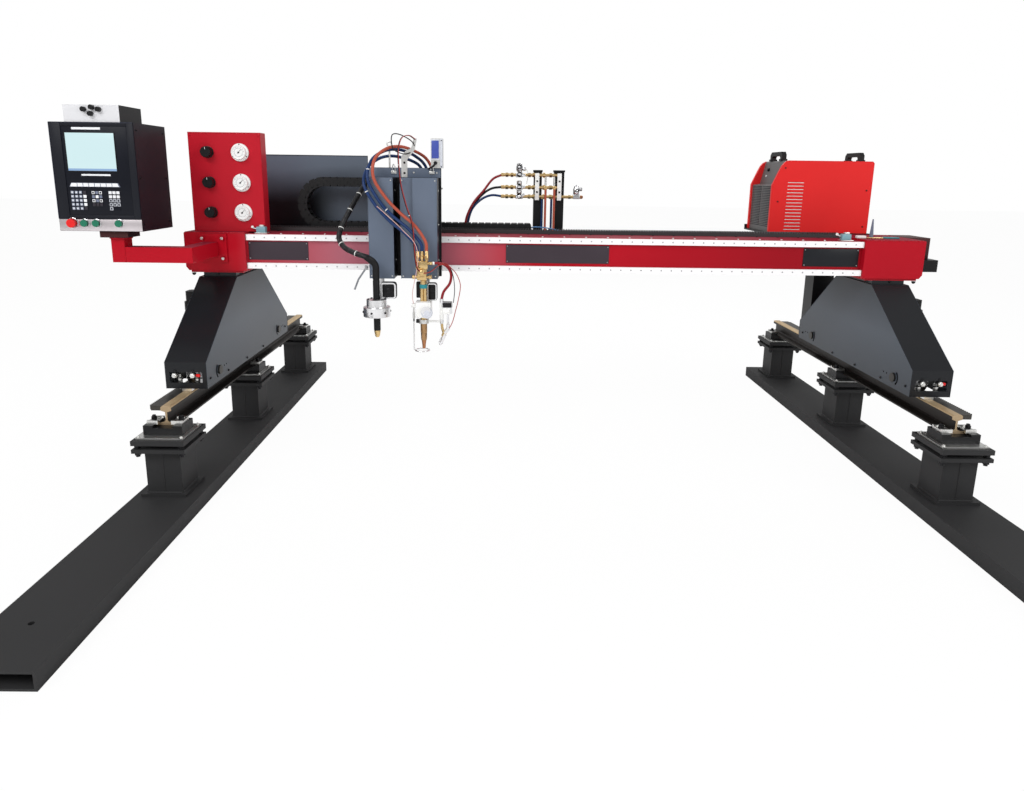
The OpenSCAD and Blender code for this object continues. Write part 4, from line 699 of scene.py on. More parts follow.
def hang_hoses():
    hose("orange_torch_hose", "torch_carriage", HOSE_ORANGE, 7, hose_orange,
         node="torch_hoses", follows="oxy_head")
    hose("blue_torch_hose", "torch_carriage", HOSE_BLUE, 7, hose_blue,
         ties=(0.55, 0.72), node="torch_hoses", follows="oxy_head")
    hose("blue_torch_hose_twin", "torch_carriage", HOSE_BLUE_TWIN, 7, hose_blue,
         ties=(0.62,), node="torch_hoses", follows="oxy_head")
    hose("plasma_torch_lead", "torch_carriage", LEAD, 12, lead_wrap,
         ties=(0.14, 0.27, 0.38, 0.48, 0.62, 0.76), node="plasma_lead", follows="plasma_head",
         slot="lead_rubber")
    hose("igniter_gas_hose", "oxy_head", IGNITER_HOSE, 6, hose_red, node="igniter_hose")
    hose("manifold_hose_top", "gantry", MANIFOLD_TOP, 6, hose_red, node="manifold_hoses")
    hose("manifold_hose_middle", "gantry", MANIFOLD_MIDDLE, 6, hose_black, node="manifold_hoses")
    hose("manifold_hose_low", "gantry", MANIFOLD_LOW, 6, hose_blue, node="manifold_hoses")
    for i, route in enumerate(MANIFOLD_DROPS):
        hose(f"manifold_drop_{i + 1}", "gantry", route, 6, hose_orange if i < 2 else hose_blue,
             node="manifold_hoses")
    hose("chain_cable_end", "gantry", CHAIN_CABLE, 3, cable_blue)


# Thin wires


SENSOR_WIRE = [
    (-800, -66, 1204), (-716, -68, 1129), (-679, -84, 1095), (-642, -104, 1062), (-623, -114, 1027),
    (-618, -118, 976), (-624, -116, 932), (-634, -110, 886), (-645, -100, 835), (-646, -94, 800),
    (-642, -90, 778),
]
IGNITION_PAIR = [
    (-650, 84, 1494), (-672, 50, 1508), (-698, 6, 1496), (-708, -36, 1448), (-706, -48, 1380),
    (-697, -56, 1295), (-672, -68, 1201), (-652, -82, 1150), (-642, -96, 1101), (-638, -106, 1051),
    (-632, -114, 983), (-622, -118, 939), (-598, -120, 920), (-566, -118, 926), (-535, -114, 951),
    (-506, -112, 963), (-479, -112, 945), (-464, -108, 900), (-460, -98, 840), (-466, -91, 786),
]
ELECTRODE_WIRE = [
    (-530, -116, 955), (-500, -118, 958), (-466, -114, 936), (-445, -108, 904), (-434, -104, 861),
    (-445, -98, 795), (-456, -94, 751), (-470, -92, 699), (-490, -91, 660), (-505, -90, 636),
]


def hang_wires():
    hose("sensor_wire", "torch_carriage", SENSOR_WIRE, 1.5, wire_pink, follows="oxy_head")
    hose("ignition_wire_dark", "torch_carriage", IGNITION_PAIR, 1.7, hose_black,
         ties=(0.22, 0.36), follows="oxy_head")
    beside = [(x + 3.6, y - 1, z + 1) for x, y, z in IGNITION_PAIR[:17]]
    hose("ignition_wire_red", "torch_carriage", beside, 1.7, wire_red, follows="oxy_head")
    hose("electrode_wire", "oxy_head", ELECTRODE_WIRE, 1.7, wire_red)


# Track


def dress_track():
    sole = Piece("sole_plate_screws", "track", "zinc_steel")
    seams = Piece("pedestal_welds", "track", "pedestal_paint")
    round_column = ((-1, -1), (1, -1), (1, 1), (-1, 1), (-1, -1))
    for side in SIDES:
        x = side * RAIL_X
        for y in PEDESTAL_Y:
            for sx, sy in CORNERS:
                sole.bolt((x + sx * 84, y + sy * 76, 308), UP, 11, zinc, 5)
            for z in (72, 249.5):
                ring = [(x + a * 71, y + b * 71, z) for a, b in round_column]
                for a, b in zip(ring, ring[1:]):
                    seams.tube([a, b], 4, pedestal_paint, 8)
            seams.tube([(x, y - 70, 76), (x, y - 70, 246)], 2.2, pedestal_paint, 6)
    sole.put()
    seams.put()


# End carriages


def dress_carriages():
    for side, name in ((-1, "left"), (1, "right")):
        front = Piece(f"{name}_carriage_adjusters", "gantry", "zinc_steel")
        x = side * COVER_X
        front.block((x - 68, -273, 476), (x + 68, -262, 479), black_paint, 1)
        for dx in (-44, 32):
            front.rod((x + dx, -284, 492), (x + dx, -262, 492), 10, zinc)
            front.bolt((x + dx, -284, 492), FRONT, 17, zinc)
            front.rod((x + dx, -274, 478), (x + dx, -274, 514), 6, dark_steel)
        front.block((x + 44, -276, 484), (x + 60, -268, 496), stop_red, 1)
        for y, z in ((160, 838), (270, 840), (380, 840), (460, 838)):
            for sx in SIDES:
                front.screw((x + sx * 82.5, y, z), (sx, 0, 0), 6, zinc)
        for y, z in ((-240, 470), (-40, 450), (200, 446), (440, 446), (820, 470)):
            for sx in SIDES:
                front.screw((side * CARRIAGE_X + sx * 88, y, z), (sx, 0, 0), 5.5, dark_steel)
        front.put()
        seam = Piece(f"{name}_carriage_seams", "gantry", "carriage_paint")
        corners = [(-275, 432), (-275, 548), (135, 855), (485, 855), (870, 535), (870, 432)]
        for sx in SIDES:
            face = side * CARRIAGE_X + sx * 87.4
            for (y0, z0), (y1, z1) in zip(corners, corners[1:]):
                seam.tube([(face, y0, z0), (face, y1, z1)], 1.6, carriage_grey, 6)
        seam.put()
        drive = Piece(f"{name}_drive_details", "gantry", "motor_paint")
        cx = side * 1716
        for a, b in CORNERS:
            for z in (448, 740):
                drive.screw((cx + a * 29, 140 + b * 29, z), UP, 4, steel)
        drive.turn([(35.5, 0), (36.5, 2), (36.5, 8), (35.5, 10)], (cx, 140, 556), UP, aluminium, 40)
        drive.turn([(9, 0), (9, 12), (7, 14), (7, 30)], (cx, 190, 700), BACK, black_plastic, 16)
        rib = [(34.2, 0), (34.8, 1), (34.8, 3), (34.2, 4)]
        for k in range(5):
            drive.turn(rib, (cx, 140, 462 + 18 * k), UP, black_plastic, 40)
        drive.put()


# Beam


def dress_beam():
    plates = Piece("bare_name_plates", "gantry", "tray_paint")
    # The left and middle name plates carry the painted sheen; the right one is satin black.
    places = ((-1450, -1168, plate_with_painted_sheen), (-234, 255, plate_with_painted_sheen), (1177, 1441, satin_black))
    for x0, x1, finish in places:
        plates.block((x0, 162.2, 936), (x1, 164.9, 1022), finish, 1)
        for x in (x0 + 7, x1 - 7):
            for z in (943, 1015):
                plates.screw((x, 162.2, z), FRONT, 3, steel, 10)
    plates.put()
    screws = Piece("guide_screws", "gantry", "guide_steel")
    for k in range(60):
        x = -1416 + 48 * k
        for z in (908.5, 1042.5):
            screws.turn([(3.4, 0), (3.4, 0.5), (1.8, 0.5), (1.6, 0.2)], (x, 149.7, z), FRONT, steel, 10)
    screws.put()
    studs = Piece("beam_top_bolts", "gantry", "axle_steel")
    for k in range(28):
        x = -1400 + 103 * k
        if abs(x - 30) > 5:
            studs.screw((x, 176, BEAM_TOP), UP, 4.5, zinc, 12)
            studs.screw((x + 40, 330, BEAM_TOP), UP, 5, dark_steel, 12)
    studs.put()
    ends = Piece("beam_end_details", "gantry", "beam_paint")
    for side in SIDES:
        for dx in (30, 142, 254):
            for y in (152, 468):
                ends.bolt((side * (BEAM_END_X + dx), y, 872), DOWN, 16, dark_steel, 8)
        ends.tube([(side * 1457.6, 165, 884), (side * 1457.6, 165, 1056)], 2.2, beam_red, 8)
        ends.tube([(side * 1458, 139.5, 1062.2), (side * 1734, 139.5, 1062.2)], 1.3, beam_red, 8)
    ends.block((1740.6, 299.6, 963.4), (1855.4, 480.4, 1066.4), shelf_brown, 2)
    ends.put()
    switches = Piece("limit_switches", "gantry", "axle_steel")
    for x in (-1391, 1384):
        switches.block((x - 30, 172, BEAM_TOP), (x + 30, 212, 1062), zinc, 1)
        switches.block((x - 24, 176, 1062), (x + 20, 206, 1090), switch_teal, 4)
        switches.block((x - 10, 182, 1090), (x + 12, 200, 1098), zinc, 1)
        switches.rod((x - 24, 191, 1078), (x - 44, 191, 1084), 4, steel, 16)
        switches.turn([(6, -3), (6, 3)], (x - 44, 191, 1088), BACK, tie_white, 16)
    switches.put()
    loose = Piece("switch_cable_ends", "gantry", "axle_steel")
    loose.block((1462, 236, END_TOP), (1506, 262, 1079), white_box, 3)
    loose.block((1510, 240, END_TOP), (1590, 268, 1071), brass, 1.5)
    loose.block((1593, 236, END_TOP), (1668, 266, 1073), valve_teal, 3)
    loose.turn([(9, 0), (9, 12), (3, 90)], (1556, 290, END_TOP), UP, key_grey, 16)
    loose.put()
    bolts = Piece("arm_plate_bolts", "gantry", "beam_paint")
    for x in (-1649, -1557):
        for z in (944, 1038):
            bolts.bolt((x, 122, z), FRONT, 13, zinc, 6, washer=False)
    bolts.put()
    arm = Piece("console_arm_welds", "gantry", "beam_paint")
    arm.tube([(-1646.5, -150.3, 1020.5), (-1580, -150.3, 1020.5)], 1.5, beam_red, 8)
    arm.tube([(-1866.2, -150.5, 956), (-1866.2, -150.5, 1056)], 1.6, beam_red, 8)
    arm.put()


# Cable chain


def link_plates(piece, place, pitch, y0, y1, h):
    """One link: two side plates with a waist and pins, joined by bars."""
    half = h / 2

    def plate(outline, low, high):
        ends = [[place(a, y, b) for a, b in outline] for y in (low, high)]
        piece.add(*prism(*ends), chain_nylon)

    side = [
        (-pitch * 0.54, -half * 0.62), (-pitch * 0.4, -half), (pitch * 0.36, -half),
        (pitch * 0.5, -half * 0.5), (pitch * 0.5, half * 0.5), (pitch * 0.36, half),
        (-pitch * 0.4, half), (-pitch * 0.54, half * 0.62),
    ]
    turns = [k * math.pi / 5 for k in range(10)]
    pin = [(math.cos(a) * h * 0.24 + pitch * 0.26, math.sin(a) * h * 0.24) for a in turns]
    for y, out in ((y0, -1), (y1, 1)):
        plate(side, *sorted((y, y - out * 6)))
        plate(pin, y, y + out * 1.6)
    for z0, z1 in ((-half + 1, -half + 6), (half - 6, half - 1)):
        bar = [(-pitch * 0.26, z0), (pitch * 0.2, z0), (pitch * 0.2, z1), (-pitch * 0.26, z1)]
        plate(bar, y0 + 4, y1 - 4)


def lay_chain():
    y0, y1, h, pitch = 431.6, 498.4, 46, 34
    low_z, high_z, bend_x, r = 1080, 1299, -1152, 109.5
    lower = Piece("chain_lower_links", None, "chain_plastic")
    count = 31
    step = (-106 - bend_x) / count
    for i in range(count):
        x = bend_x + step * (i + 0.5)
        link_plates(lower, lambda a, y, b, x=x: (x + a, y, low_z + b), step, y0, y1, h)
    lower.block((-112, y0 + 2, 1058), (-104, y1 - 2, 1100), zinc, 1)
    thing = lower.put("chain_lower_run", angle=30)
    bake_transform(thing)
    upper = Piece("chain_upper_links", None, "chain_plastic")
    count = 13
    step = (-705 - bend_x) / count
    for i in range(count):
        x = bend_x + step * (i + 0.5)
        link_plates(upper, lambda a, y, b, x=x: (x - a, y, high_z - b), step, y0, y1, h)
    thing = upper.put("chain_upper_run", angle=30)
    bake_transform(thing)
    bend = Piece("chain_bend_links", "moving_bend", "chain_plastic")
    count = 10
    turn = math.pi / count
    for i in range(count):
        a0 = math.pi / 2 + turn * (i + 0.5)

        def place(a, y, b, a0=a0):
            out = Vector((math.cos(a0), 0, math.sin(a0)))
            way = Vector((-math.sin(a0), 0, math.cos(a0)))
            spot = Vector((bend_x, y, low_z + r)) + out * (r + b) + way * a
            return tuple(spot)

        link_plates(bend, place, r * turn, y0, y1, h)
    bend.put("chain_bend", angle=30)
    guard = Piece("guard_plate_rim", "gantry", "tray_paint")
    guard.tube([(-1490, 558, 1430.2), (-950, 558, 1430.2), (-950, 558, 1060)], 1.8, satin_black, 8)
    guard.put()


# Gas panel and manifold


def dress_gas_panel():
    trim = Piece("gas_panel_trim", "gantry", "panel_red")
    trim.tube([(-1378.6, 199.6, 1066), (-1378.6, 199.6, 1517)], 1.4, panel_red, 8)
    trim.tube([(-1712, 199.6, 1516.6), (-1379, 199.6, 1516.6)], 1.4, panel_red, 8)
    for x in (-1703, -1388):
        for z in (1080, 1503):
            trim.screw((x, 200, z), FRONT, 3.2, panel_red, 10)
    trim.put()
    dials = Piece("gauge_faces", "gantry", "gauge_white")
    cup = [(41, 0), (41, 6), (39.5, 8), (33, 8.5), (32.5, 22), (31, 24), (28.5, 24), (28, 21.5), (0.01, 21.5)]
    for z in PANEL_ROWS:
        at = (GAUGE_X, 200, z)

        def spot(r, turn, y, z=z):
            return (GAUGE_X + r * math.cos(turn), y, z + r * math.sin(turn))

        dials.turn(cup, at, FRONT, white_box, 48)
        dials.tube(circle((GAUGE_X, 178.3, z), FRONT, 19), 0.5, insulator_grey, 6)
        dials.turn([(3.5, 21.5), (3.5, 23), (2.5, 23.4)], at, FRONT, black_plastic, 14)
        for k in range(3):
            dials.screw(spot(36.5, math.pi / 2 + 2 * math.pi * k / 3, 192.4), FRONT, 2.6, dark_steel, 10)
        for k in range(11):
            turn = math.radians(225 - 27 * k)
            dials.tube([spot(21.5, turn, 178.3), spot(25.5, turn, 178.3)], 0.5, black_plastic, 4)
        turn = math.radians(48)
        dials.tube([spot(-7, turn, 177.4), spot(17, turn, 177.4)], 0.9, black_plastic, 6)
    dials.put("pressure_gauges")
    for i, z in enumerate(PANEL_ROWS):
        knob = Piece(f"regulator_grip_{i + 1}", f"regulator_{i + 1}", "knob_black")
        at = Vector((REGULATOR_X, 199.6, z))
        knob.turn([(27, 0), (27, 4), (21, 5.5), (21, 7)], at, FRONT, black_plastic, 36)
        n = 18
        grip = []
        for k in range(2 * n):
            rr = 25.5 if k % 2 else 23.6
            a = math.pi * k / n
            grip.append((at.x + rr * math.cos(a), z + rr * math.sin(a)))
        knob.sheet(grip, 168, 193, black_plastic)
        knob.turn([(23.5, 31.5), (22, 34), (15, 34), (14, 33), (0.01, 33)], at, FRONT, black_plastic, 36)
        knob.block((at.x - 1, 165.2, z + 12), (at.x + 1, 166.6, z + 22), tie_white, 0.2)
        knob.put(f"regulator_knob_{i + 1}")


def dress_manifold():
    y = MANIFOLD_Y
    pipes = Piece("manifold_pipes", "gantry", "brass")
    for z, x1 in zip(MANIFOLD_ROWS, (156, 39, 39)):
        pipes.rod((-256, y, z), (x1, y, z), 8, brass, 20)
        pipes.turn([(6.5, 0), (9.5, 2), (9.5, 16), (7.5, 22)], (-262, y, z), RIGHT, brass, 16)
        for x in (-238, -212, -122, -100, -12):
            pipes.turn([(12.5, 0), (12.5, 14)], (x, y, z), RIGHT, brass, 6)
        pipes.turn([(13, 0), (13, 12)], (-46, y, z), RIGHT, brass, 16)
    pipes.turn([(11, 0), (11, 12)], (88, y, 1236), RIGHT, brass, 6)
    pipes.turn([(9, 0), (9, 10), (5, 14)], (150, y, 1236), RIGHT, copper, 12)
    for x in (-31, 14):
        pipes.rod((x, y, 1283), (x, y, 1345), 5, zinc, 16)
        pipes.block((x - 7.5, 516.5, 1273), (x + 7.5, 542, 1291), brass, 2)
    for x in (-47, 1):
        pipes.rod((x, y, 1224), (x, y, 1236), 7.5, brass, 16)
    pipes.put()
    valves = Piece("manifold_valves", "gantry", "axle_steel")
    for i, z in enumerate(MANIFOLD_ROWS):
        valves.block((-186, 523, z - 12), (-148, 555, z + 12), steel, 3)
        valves.turn([(12, 0), (13.5, 3), (13.5, 18), (11, 21)], (-167, y, z + 12), UP, chrome, 20)
        valves.turn([(12, 0), (14, 3), (14, 9), (9, 13), (5, 14)], (-167, 523, z + 2), FRONT, dark_steel, 20)
        lean = Matrix.Rotation(math.radians(-24 + 20 * i), 3, "Y")
        valves.block((-184, 505.5, z - 3), (-136, 510.5, z + 9), chrome, 2, lean)
        valves.tube(circle((-167, 506, z + 2), FRONT, 10), 2, black_plastic, 6)
    valves.turn([(15, 0), (17, 3), (17, 20), (14, 26), (14, 34), (9, 38)], (-167, y, 1366), UP, steel, 20)
    valves.tube(circle((-167, 524, 1386), FRONT, 9), 2.5, black_plastic, 6)
    valves.turn([(10, 0), (11, 3), (11, 14), (7, 16)], (-150, y, 1376), RIGHT, chrome, 16)
    tail = smooth_route([(-134, 540, 1376), (-126, 538, 1362), (-124, 536, 1330), (-130, 540, 1300)])
    valves.tube(tail, 2, tie_white, 6)
    valves.block((112, 524, 1226), (148, 556, 1250), steel, 3)
    valves.turn([(14, 0), (16, 3), (16, 28), (12, 34), (12, 44), (7, 48)], (129, y, 1250), UP, chrome, 20)
    valves.tube(circle((131, 523, 1270), FRONT, 8), 2, black_plastic, 6)
    valves.turn([(9, 0), (10, 2), (10, 12), (6, 14)], (145, y, 1276), RIGHT, steel, 16)
    valves.put("gas_fittings")
    bodies = Piece("regulator_bodies", "gantry", "brass")
    for z in PANEL_ROWS:
        bodies.turn([(24, 0), (24, 20), (20, 24), (20, 40), (16, 45)], (REGULATOR_X, 202, z), BACK, brass, 28)
        bodies.turn([(8, 0), (8, 26), (6, 28)], (REGULATOR_X, 226, z - 20), DOWN, brass, 16)
        bodies.turn([(8, 0), (8, 30)], (GAUGE_X, 202, z), BACK, brass, 16)
        bodies.turn([(12, 8), (12, 22)], (GAUGE_X, 202, z), BACK, brass, 6)
    bodies.put()
    straps = Piece("manifold_straps", "gantry", "zinc_steel")
    for x0, x1 in ((-86, -64), (29, 51)):
        straps.block((x0, 529, 1218), (x1, 533, 1355), ceramic, 1)
        for z in (1260, 1315):
            straps.turn([(5, 0), (5, 3), (2.5, 3), (2.3, 1)], ((x0 + x1) / 2, 529, z), FRONT, dark_steel, 12)
    straps.put()


# Power source


def dress_power_source():
    x0, x1, y0, z0, z1 = 1155, 1676, 570, 1065, 1436
    louvres = Piece("power_source_louvres", "gantry", "case_red")
    lean = Matrix.Rotation(0.25, 3, "X")
    for k in range(15):
        z = z0 + 15 + k * 17.3
        # A thin white strip under each louvre: a painted highlight on its lip.
        louvres.block((1235, y0 - 0.7, z), (1319, y0 - 0.1, z + 4.2), tie_white, 0.2)
        louvres.block((1234, y0 - 2.6, z + 3.6), (1320, y0 - 0.2, z + 9), case_red, 0.8, lean)
    for x, z in ((1216, 1398), (1190, 1226), (1650, 1288), (1650, 1100)):
        louvres.screw((x, y0, z), FRONT, 4, dark_steel, 12)
    edge = [(x0 + 1, z0 + 2), (x0 + 1, z1 - 126), (x0 + 31, z1 - 56), (x0 + 45, z1 - 26), (x0 + 57, z1 - 11),
            (x0 + 73, z1 - 1), (x1 - 9, z1 - 1), (x1 - 1, z1 - 9), (x1 - 1, z0 + 2)]
    for y in (y0 + 0.6, y0 + 328.4):
        louvres.tube([(x, y, z) for x, z in edge], 1.6, case_red, 8)
    louvres.put()
    front = Piece("power_source_grille", "gantry", "grille_plastic")
    for y in (598, 742):
        for k in range(24):
            z = z0 + 26 + k * 9
            front.block((x0 + 6.6, y, z), (x0 + 8.3, y + 130, z + 5.4), satin_black, 0.5)
            front.block((x0 + 5, y - 2, z + 5.4), (x0 + 8.3, y + 132, z + 8), grille_grey, 0.6)
    out = Vector((-0.979, 0, 0.206))
    front.turn([(9, -0.5), (9, 7), (7.5, 10), (3, 10)], (1217, 800, 1390), out, black_plastic, 24)
    front.turn([(5, -0.5), (5, 4)], (1210, 812, 1357), out, tie_white, 16)
    front.put()
    back = Piece("power_source_back", "gantry", "grille_plastic")
    for k in range(12):
        back.block((x1 - 8.6, 610, z0 + 34 + k * 24), (x1 - 6.8, 860, z0 + 43 + k * 24), satin_black, 0.8)
    back.turn([(60, 0), (60, 1.6), (54, 2.2)], (x1 - 8.2, 735, z0 + 170), RIGHT, satin_black, 40)
    back.put()
    feet = Piece("power_source_feet", "gantry", "handle_plastic")
    for x in (x0 + 40, x1 - 40):
        for y in (600, 870):
            feet.bolt((x, y, 1057), DOWN, 14, dark_steel, 7)
    feet.put()


# Torch carriage


def dress_saddle():
    plate = Piece("saddle_plate_face", "torch_carriage", "saddle_paint")
    plate.block((-867, 92.4, 1327), (-535, 94.9, 1369), cover_blue, 0.8)
    plate.block((-535.6, 93, 878), (-533.2, 112, 1369), satin_black, 0.8)
    plate.block((-868.8, 93, 878), (-866.4, 112, 1369), satin_black, 0.8)
    for x in (-846, -754, -656, -552):
        plate.screw((x, 92.4, 1349), FRONT, 4.5, zinc)
    plate.put()
    hooks = Piece("saddle_hooks", "torch_carriage", "bracket_steel")
    for x in (-746, -574):
        bow = [(x - 5, 90, 1352), (x - 5, 86, 1372), (x, 84, 1384), (x + 6, 86, 1374), (x + 6, 90, 1352)]
        hooks.tube(smooth_route(bow), 2.2, zinc, 10)
        hooks.block((x - 12, 88, 1342), (x + 12, 92.2, 1356), zinc, 1)
    hooks.put()
    covers = Piece("lifter_cover_trim", "torch_carriage", "cover_paint")
    for x0, x1 in ((-847, -736), (-705, -542)):
        for z in (892, 1314):
            for x in (x0 + 9, x1 - 9):
                covers.screw((x, -20, z), FRONT, 3.4, zinc, 12)
        for x in (x0 + 0.8, x1 - 0.8):
            covers.tube([(x, -19.4, 881), (x, -19.4, 1325)], 1.4, cover_blue, 8)
        for z in (960, 1120, 1270):
            covers.screw((x1 + 0.3, 40, z), RIGHT, 3, zinc, 12)
    covers.put()
    motor = Piece("cross_motor_details", "torch_carriage", "motor_paint")
    for a, b in CORNERS:
        motor.screw((-705 + a * 33, 224, 1124 + b * 33), FRONT, 4, steel)
    rib = [(43.6, 0), (44.4, 1.2), (44.4, 4), (43.6, 5)]
    for k in range(6):
        motor.turn(rib, (-705, 236 + 13 * k, 1124), BACK, black_plastic, 40)
    motor.put()
    box = Piece("ignition_box_details", "torch_carriage", "bracket_steel")
    box.block((-577.4, 78, 1404), (-537, 84, 1496), clear_white, 2)
    box.block((-574, 76.4, 1412), (-541, 79, 1490), label_blue, 1)
    box.block((-536, 79, 1371), (-524.6, 84, 1498), clear_white, 1.5)
    box.turn([(8, 0), (8, 8), (5, 12)], (-557, 81, 1392), FRONT, dark_steel, 16)
    tail = smooth_route([(-557, 72, 1392), (-562, 64, 1382), (-576, 70, 1372), (-590, 84, 1366)])
    box.tube(tail, 4, hose_black, 8)
    for z in (1376, 1490):
        box.screw((-530, 79, z), FRONT, 2.6, dark_steel)
    box.put()
    strap = Piece("hose_strap", "torch_carriage", "bracket_steel")
    for z in (1346, 1392):
        strap.turn([(5, 0), (5, 2.4), (2.6, 2.4)], (-698, 90, z), FRONT, dark_steel, 14)
    loop = [
        (-664, 104, 1450), (-652, 92, 1466), (-668, 78, 1490), (-716, 54, 1514), (-744, 34, 1506),
        (-738, 30, 1450), (-700, 62, 1430), (-672, 90, 1436), (-664, 104, 1450),
    ]
    strap.tube(smooth_route(loop), 2.4, hose_black, 8)
    strap.put()


# Torches


def dress_plasma():
    x, y = PLASMA_X, TORCH_Y
    torch = Piece("plasma_torch_body", "plasma_head", "torch_black")
    torch.turn([(12, 930), (15, 927), (15, 888), (14, 886), (14, 882), (15, 880), (15, 770)],
               (x, y, 0), UP, black_plastic, 40)
    neck = [(x, y, 918), (x, y, 938), (x - 6, y, 956), (x - 22, y + 0.6, 970), (x - 42, y + 2, 984)]
    torch.tube(smooth_route(neck), 14.5, black_plastic, 20)
    ring = [
        (59, 722), (59.6, 724), (59.6, 762), (57, 764), (46, 764), (45, 767), (45, 796), (42, 798), (15, 798),
    ]
    torch.turn(ring, (x, y, 0), UP, aluminium, 56)
    for k in range(6):
        a = 2 * math.pi * k / 6 + 0.3
        c, s = math.cos(a), math.sin(a)
        torch.screw((x + 37 * c, y + 37 * s, 798), UP, 4, dark_steel)
        torch.screw((x + 59.6 * c, y + 59.6 * s, 743), (c, s, 0), 4.5, dark_steel)
    torch.turn([(30, 722), (22, 717), (15, 715), (15, 660), (14, 656)], (x, y, 0), UP, black_plastic, 40)
    tip = [(14.2, 660), (14.2, 652), (12.4, 644), (11.6, 636), (9, 629), (6.5, 626)]
    torch.turn(tip, (x, y, 0), UP, brass, 36)
    torch.put("plasma_torch")
    lifter = Piece("plasma_lifter_details", "plasma_head", "lifter_metal")
    lifter.block((x + 14, -70, 794), (x + 84, -24, 870), black_plastic, 13)
    lifter.turn([(13, 0), (13, 5), (10, 7)], (x + 52, -70, 832), FRONT, black_plastic, 24)
    lifter.tube([(-852, -72, 934), (-886, -78, 884), (-904, -80, 838)], 4, insulator_grey, 12)
    lifter.turn([(6.5, 0), (6.5, 18)], (-852, -72, 926), UP, steel, 16)
    lifter.put()


def dress_oxy():
    x, y = OXY_X, TORCH_Y
    torch = Piece("oxy_torch_body", "oxy_head", "brass")
    for dx in (-25, -5, 15):
        torch.turn([(7, 1014), (8.2, 1012), (8.2, 996), (9.4, 994), (9.4, 980), (7.6, 978), (7.6, 968)],
                   (x + dx, y, 0), UP, brass, 6 if dx == -5 else 18)
    torch.block((x - 32, y - 14, 934), (x + 20, y + 14, 970), brass, 3)
    torch.block((x - 27, y - 14.5, 885), (x + 15, y + 14.5, 936), brass, 4)
    for z in (930, 912, 898):
        torch.turn([(20, 0), (20, 5)], (x - 5, y, z), UP, brass, 24)
    for side in SIDES:
        start = x - 27 if side < 0 else x + 15
        torch.turn([(6, 0), (6, 7), (9.5, 9), (9.5, 20), (6, 23)], (start, y, 899), (side, 0, 0), brass, 16)
    torch.turn([(8, 0), (8, 6), (10.5, 8), (10.5, 17), (7, 19)], (x - 4, y - 14, 922), FRONT, brass, 20)
    torch.turn([(5, 0), (6.5, 1), (6.5, 9), (8, 10), (8, 22), (5.4, 24)], (x + 18, y, 960), RIGHT, brass, 16)
    torch.turn([(8, 0), (8, 8)], (x + 42, y, 960), RIGHT, zinc, 6)
    torch.turn([(12, 885), (14, 883), (14, 866)], (x, y, 0), UP, brass, 6)
    torch.turn([(15, 867), (16.6, 865), (16.6, 851), (15, 849)], (x, y, 0), UP, valve_teal, 28)
    for dx in (-7, 7):
        torch.turn([(7.6, 850), (7.6, 786)], (x + dx, y, 0), UP, brass, 24)
    torch.turn([(14.8, 724), (14.8, 700), (13.6, 697)], (x, y, 0), UP, brass, 36)
    torch.turn([(14.2, 698), (14.8, 694), (14.8, 652), (13.4, 648)], (x, y, 0), UP, bronze, 32)
    torch.turn([(13.4, 650), (14, 644), (13.2, 620), (10.8, 612)], (x, y, 0), UP, bronze, 6)
    tip = [(10.8, 614), (8.6, 598), (7.2, 582), (7, 577), (4.4, 577), (4, 583)]
    torch.turn(tip, (x, y, 0), UP, copper, 32)
    torch.put("oxy_torch")
    holder = Piece("oxy_holder_details", "oxy_head", "lifter_metal")
    holder.block((x - 33, y - 31, 720), (x + 35, y + 33, 791.5), ceramic, 5)
    holder.turn([(24, 0), (25, 2), (25, 9), (22, 12), (14, 12.5), (13, 14), (0.01, 14.5)],
                (x + 18, y - 30, 745), FRONT, clear_white, 36)
    holder.block((x - 54, y - 8, 762), (x - 32, y + 8, 780), ceramic, 3)
    holder.block((x + 12, -66, 787), (x + 57, -25, 868), black_plastic, 11)
    holder.turn([(11, 0), (11, 5), (8, 7)], (x + 34, -66, 836), FRONT, black_plastic, 24)
    holder.block((x - 36, -60, 800), (x - 16, -32, 872), black_plastic, 4)
    holder.put()


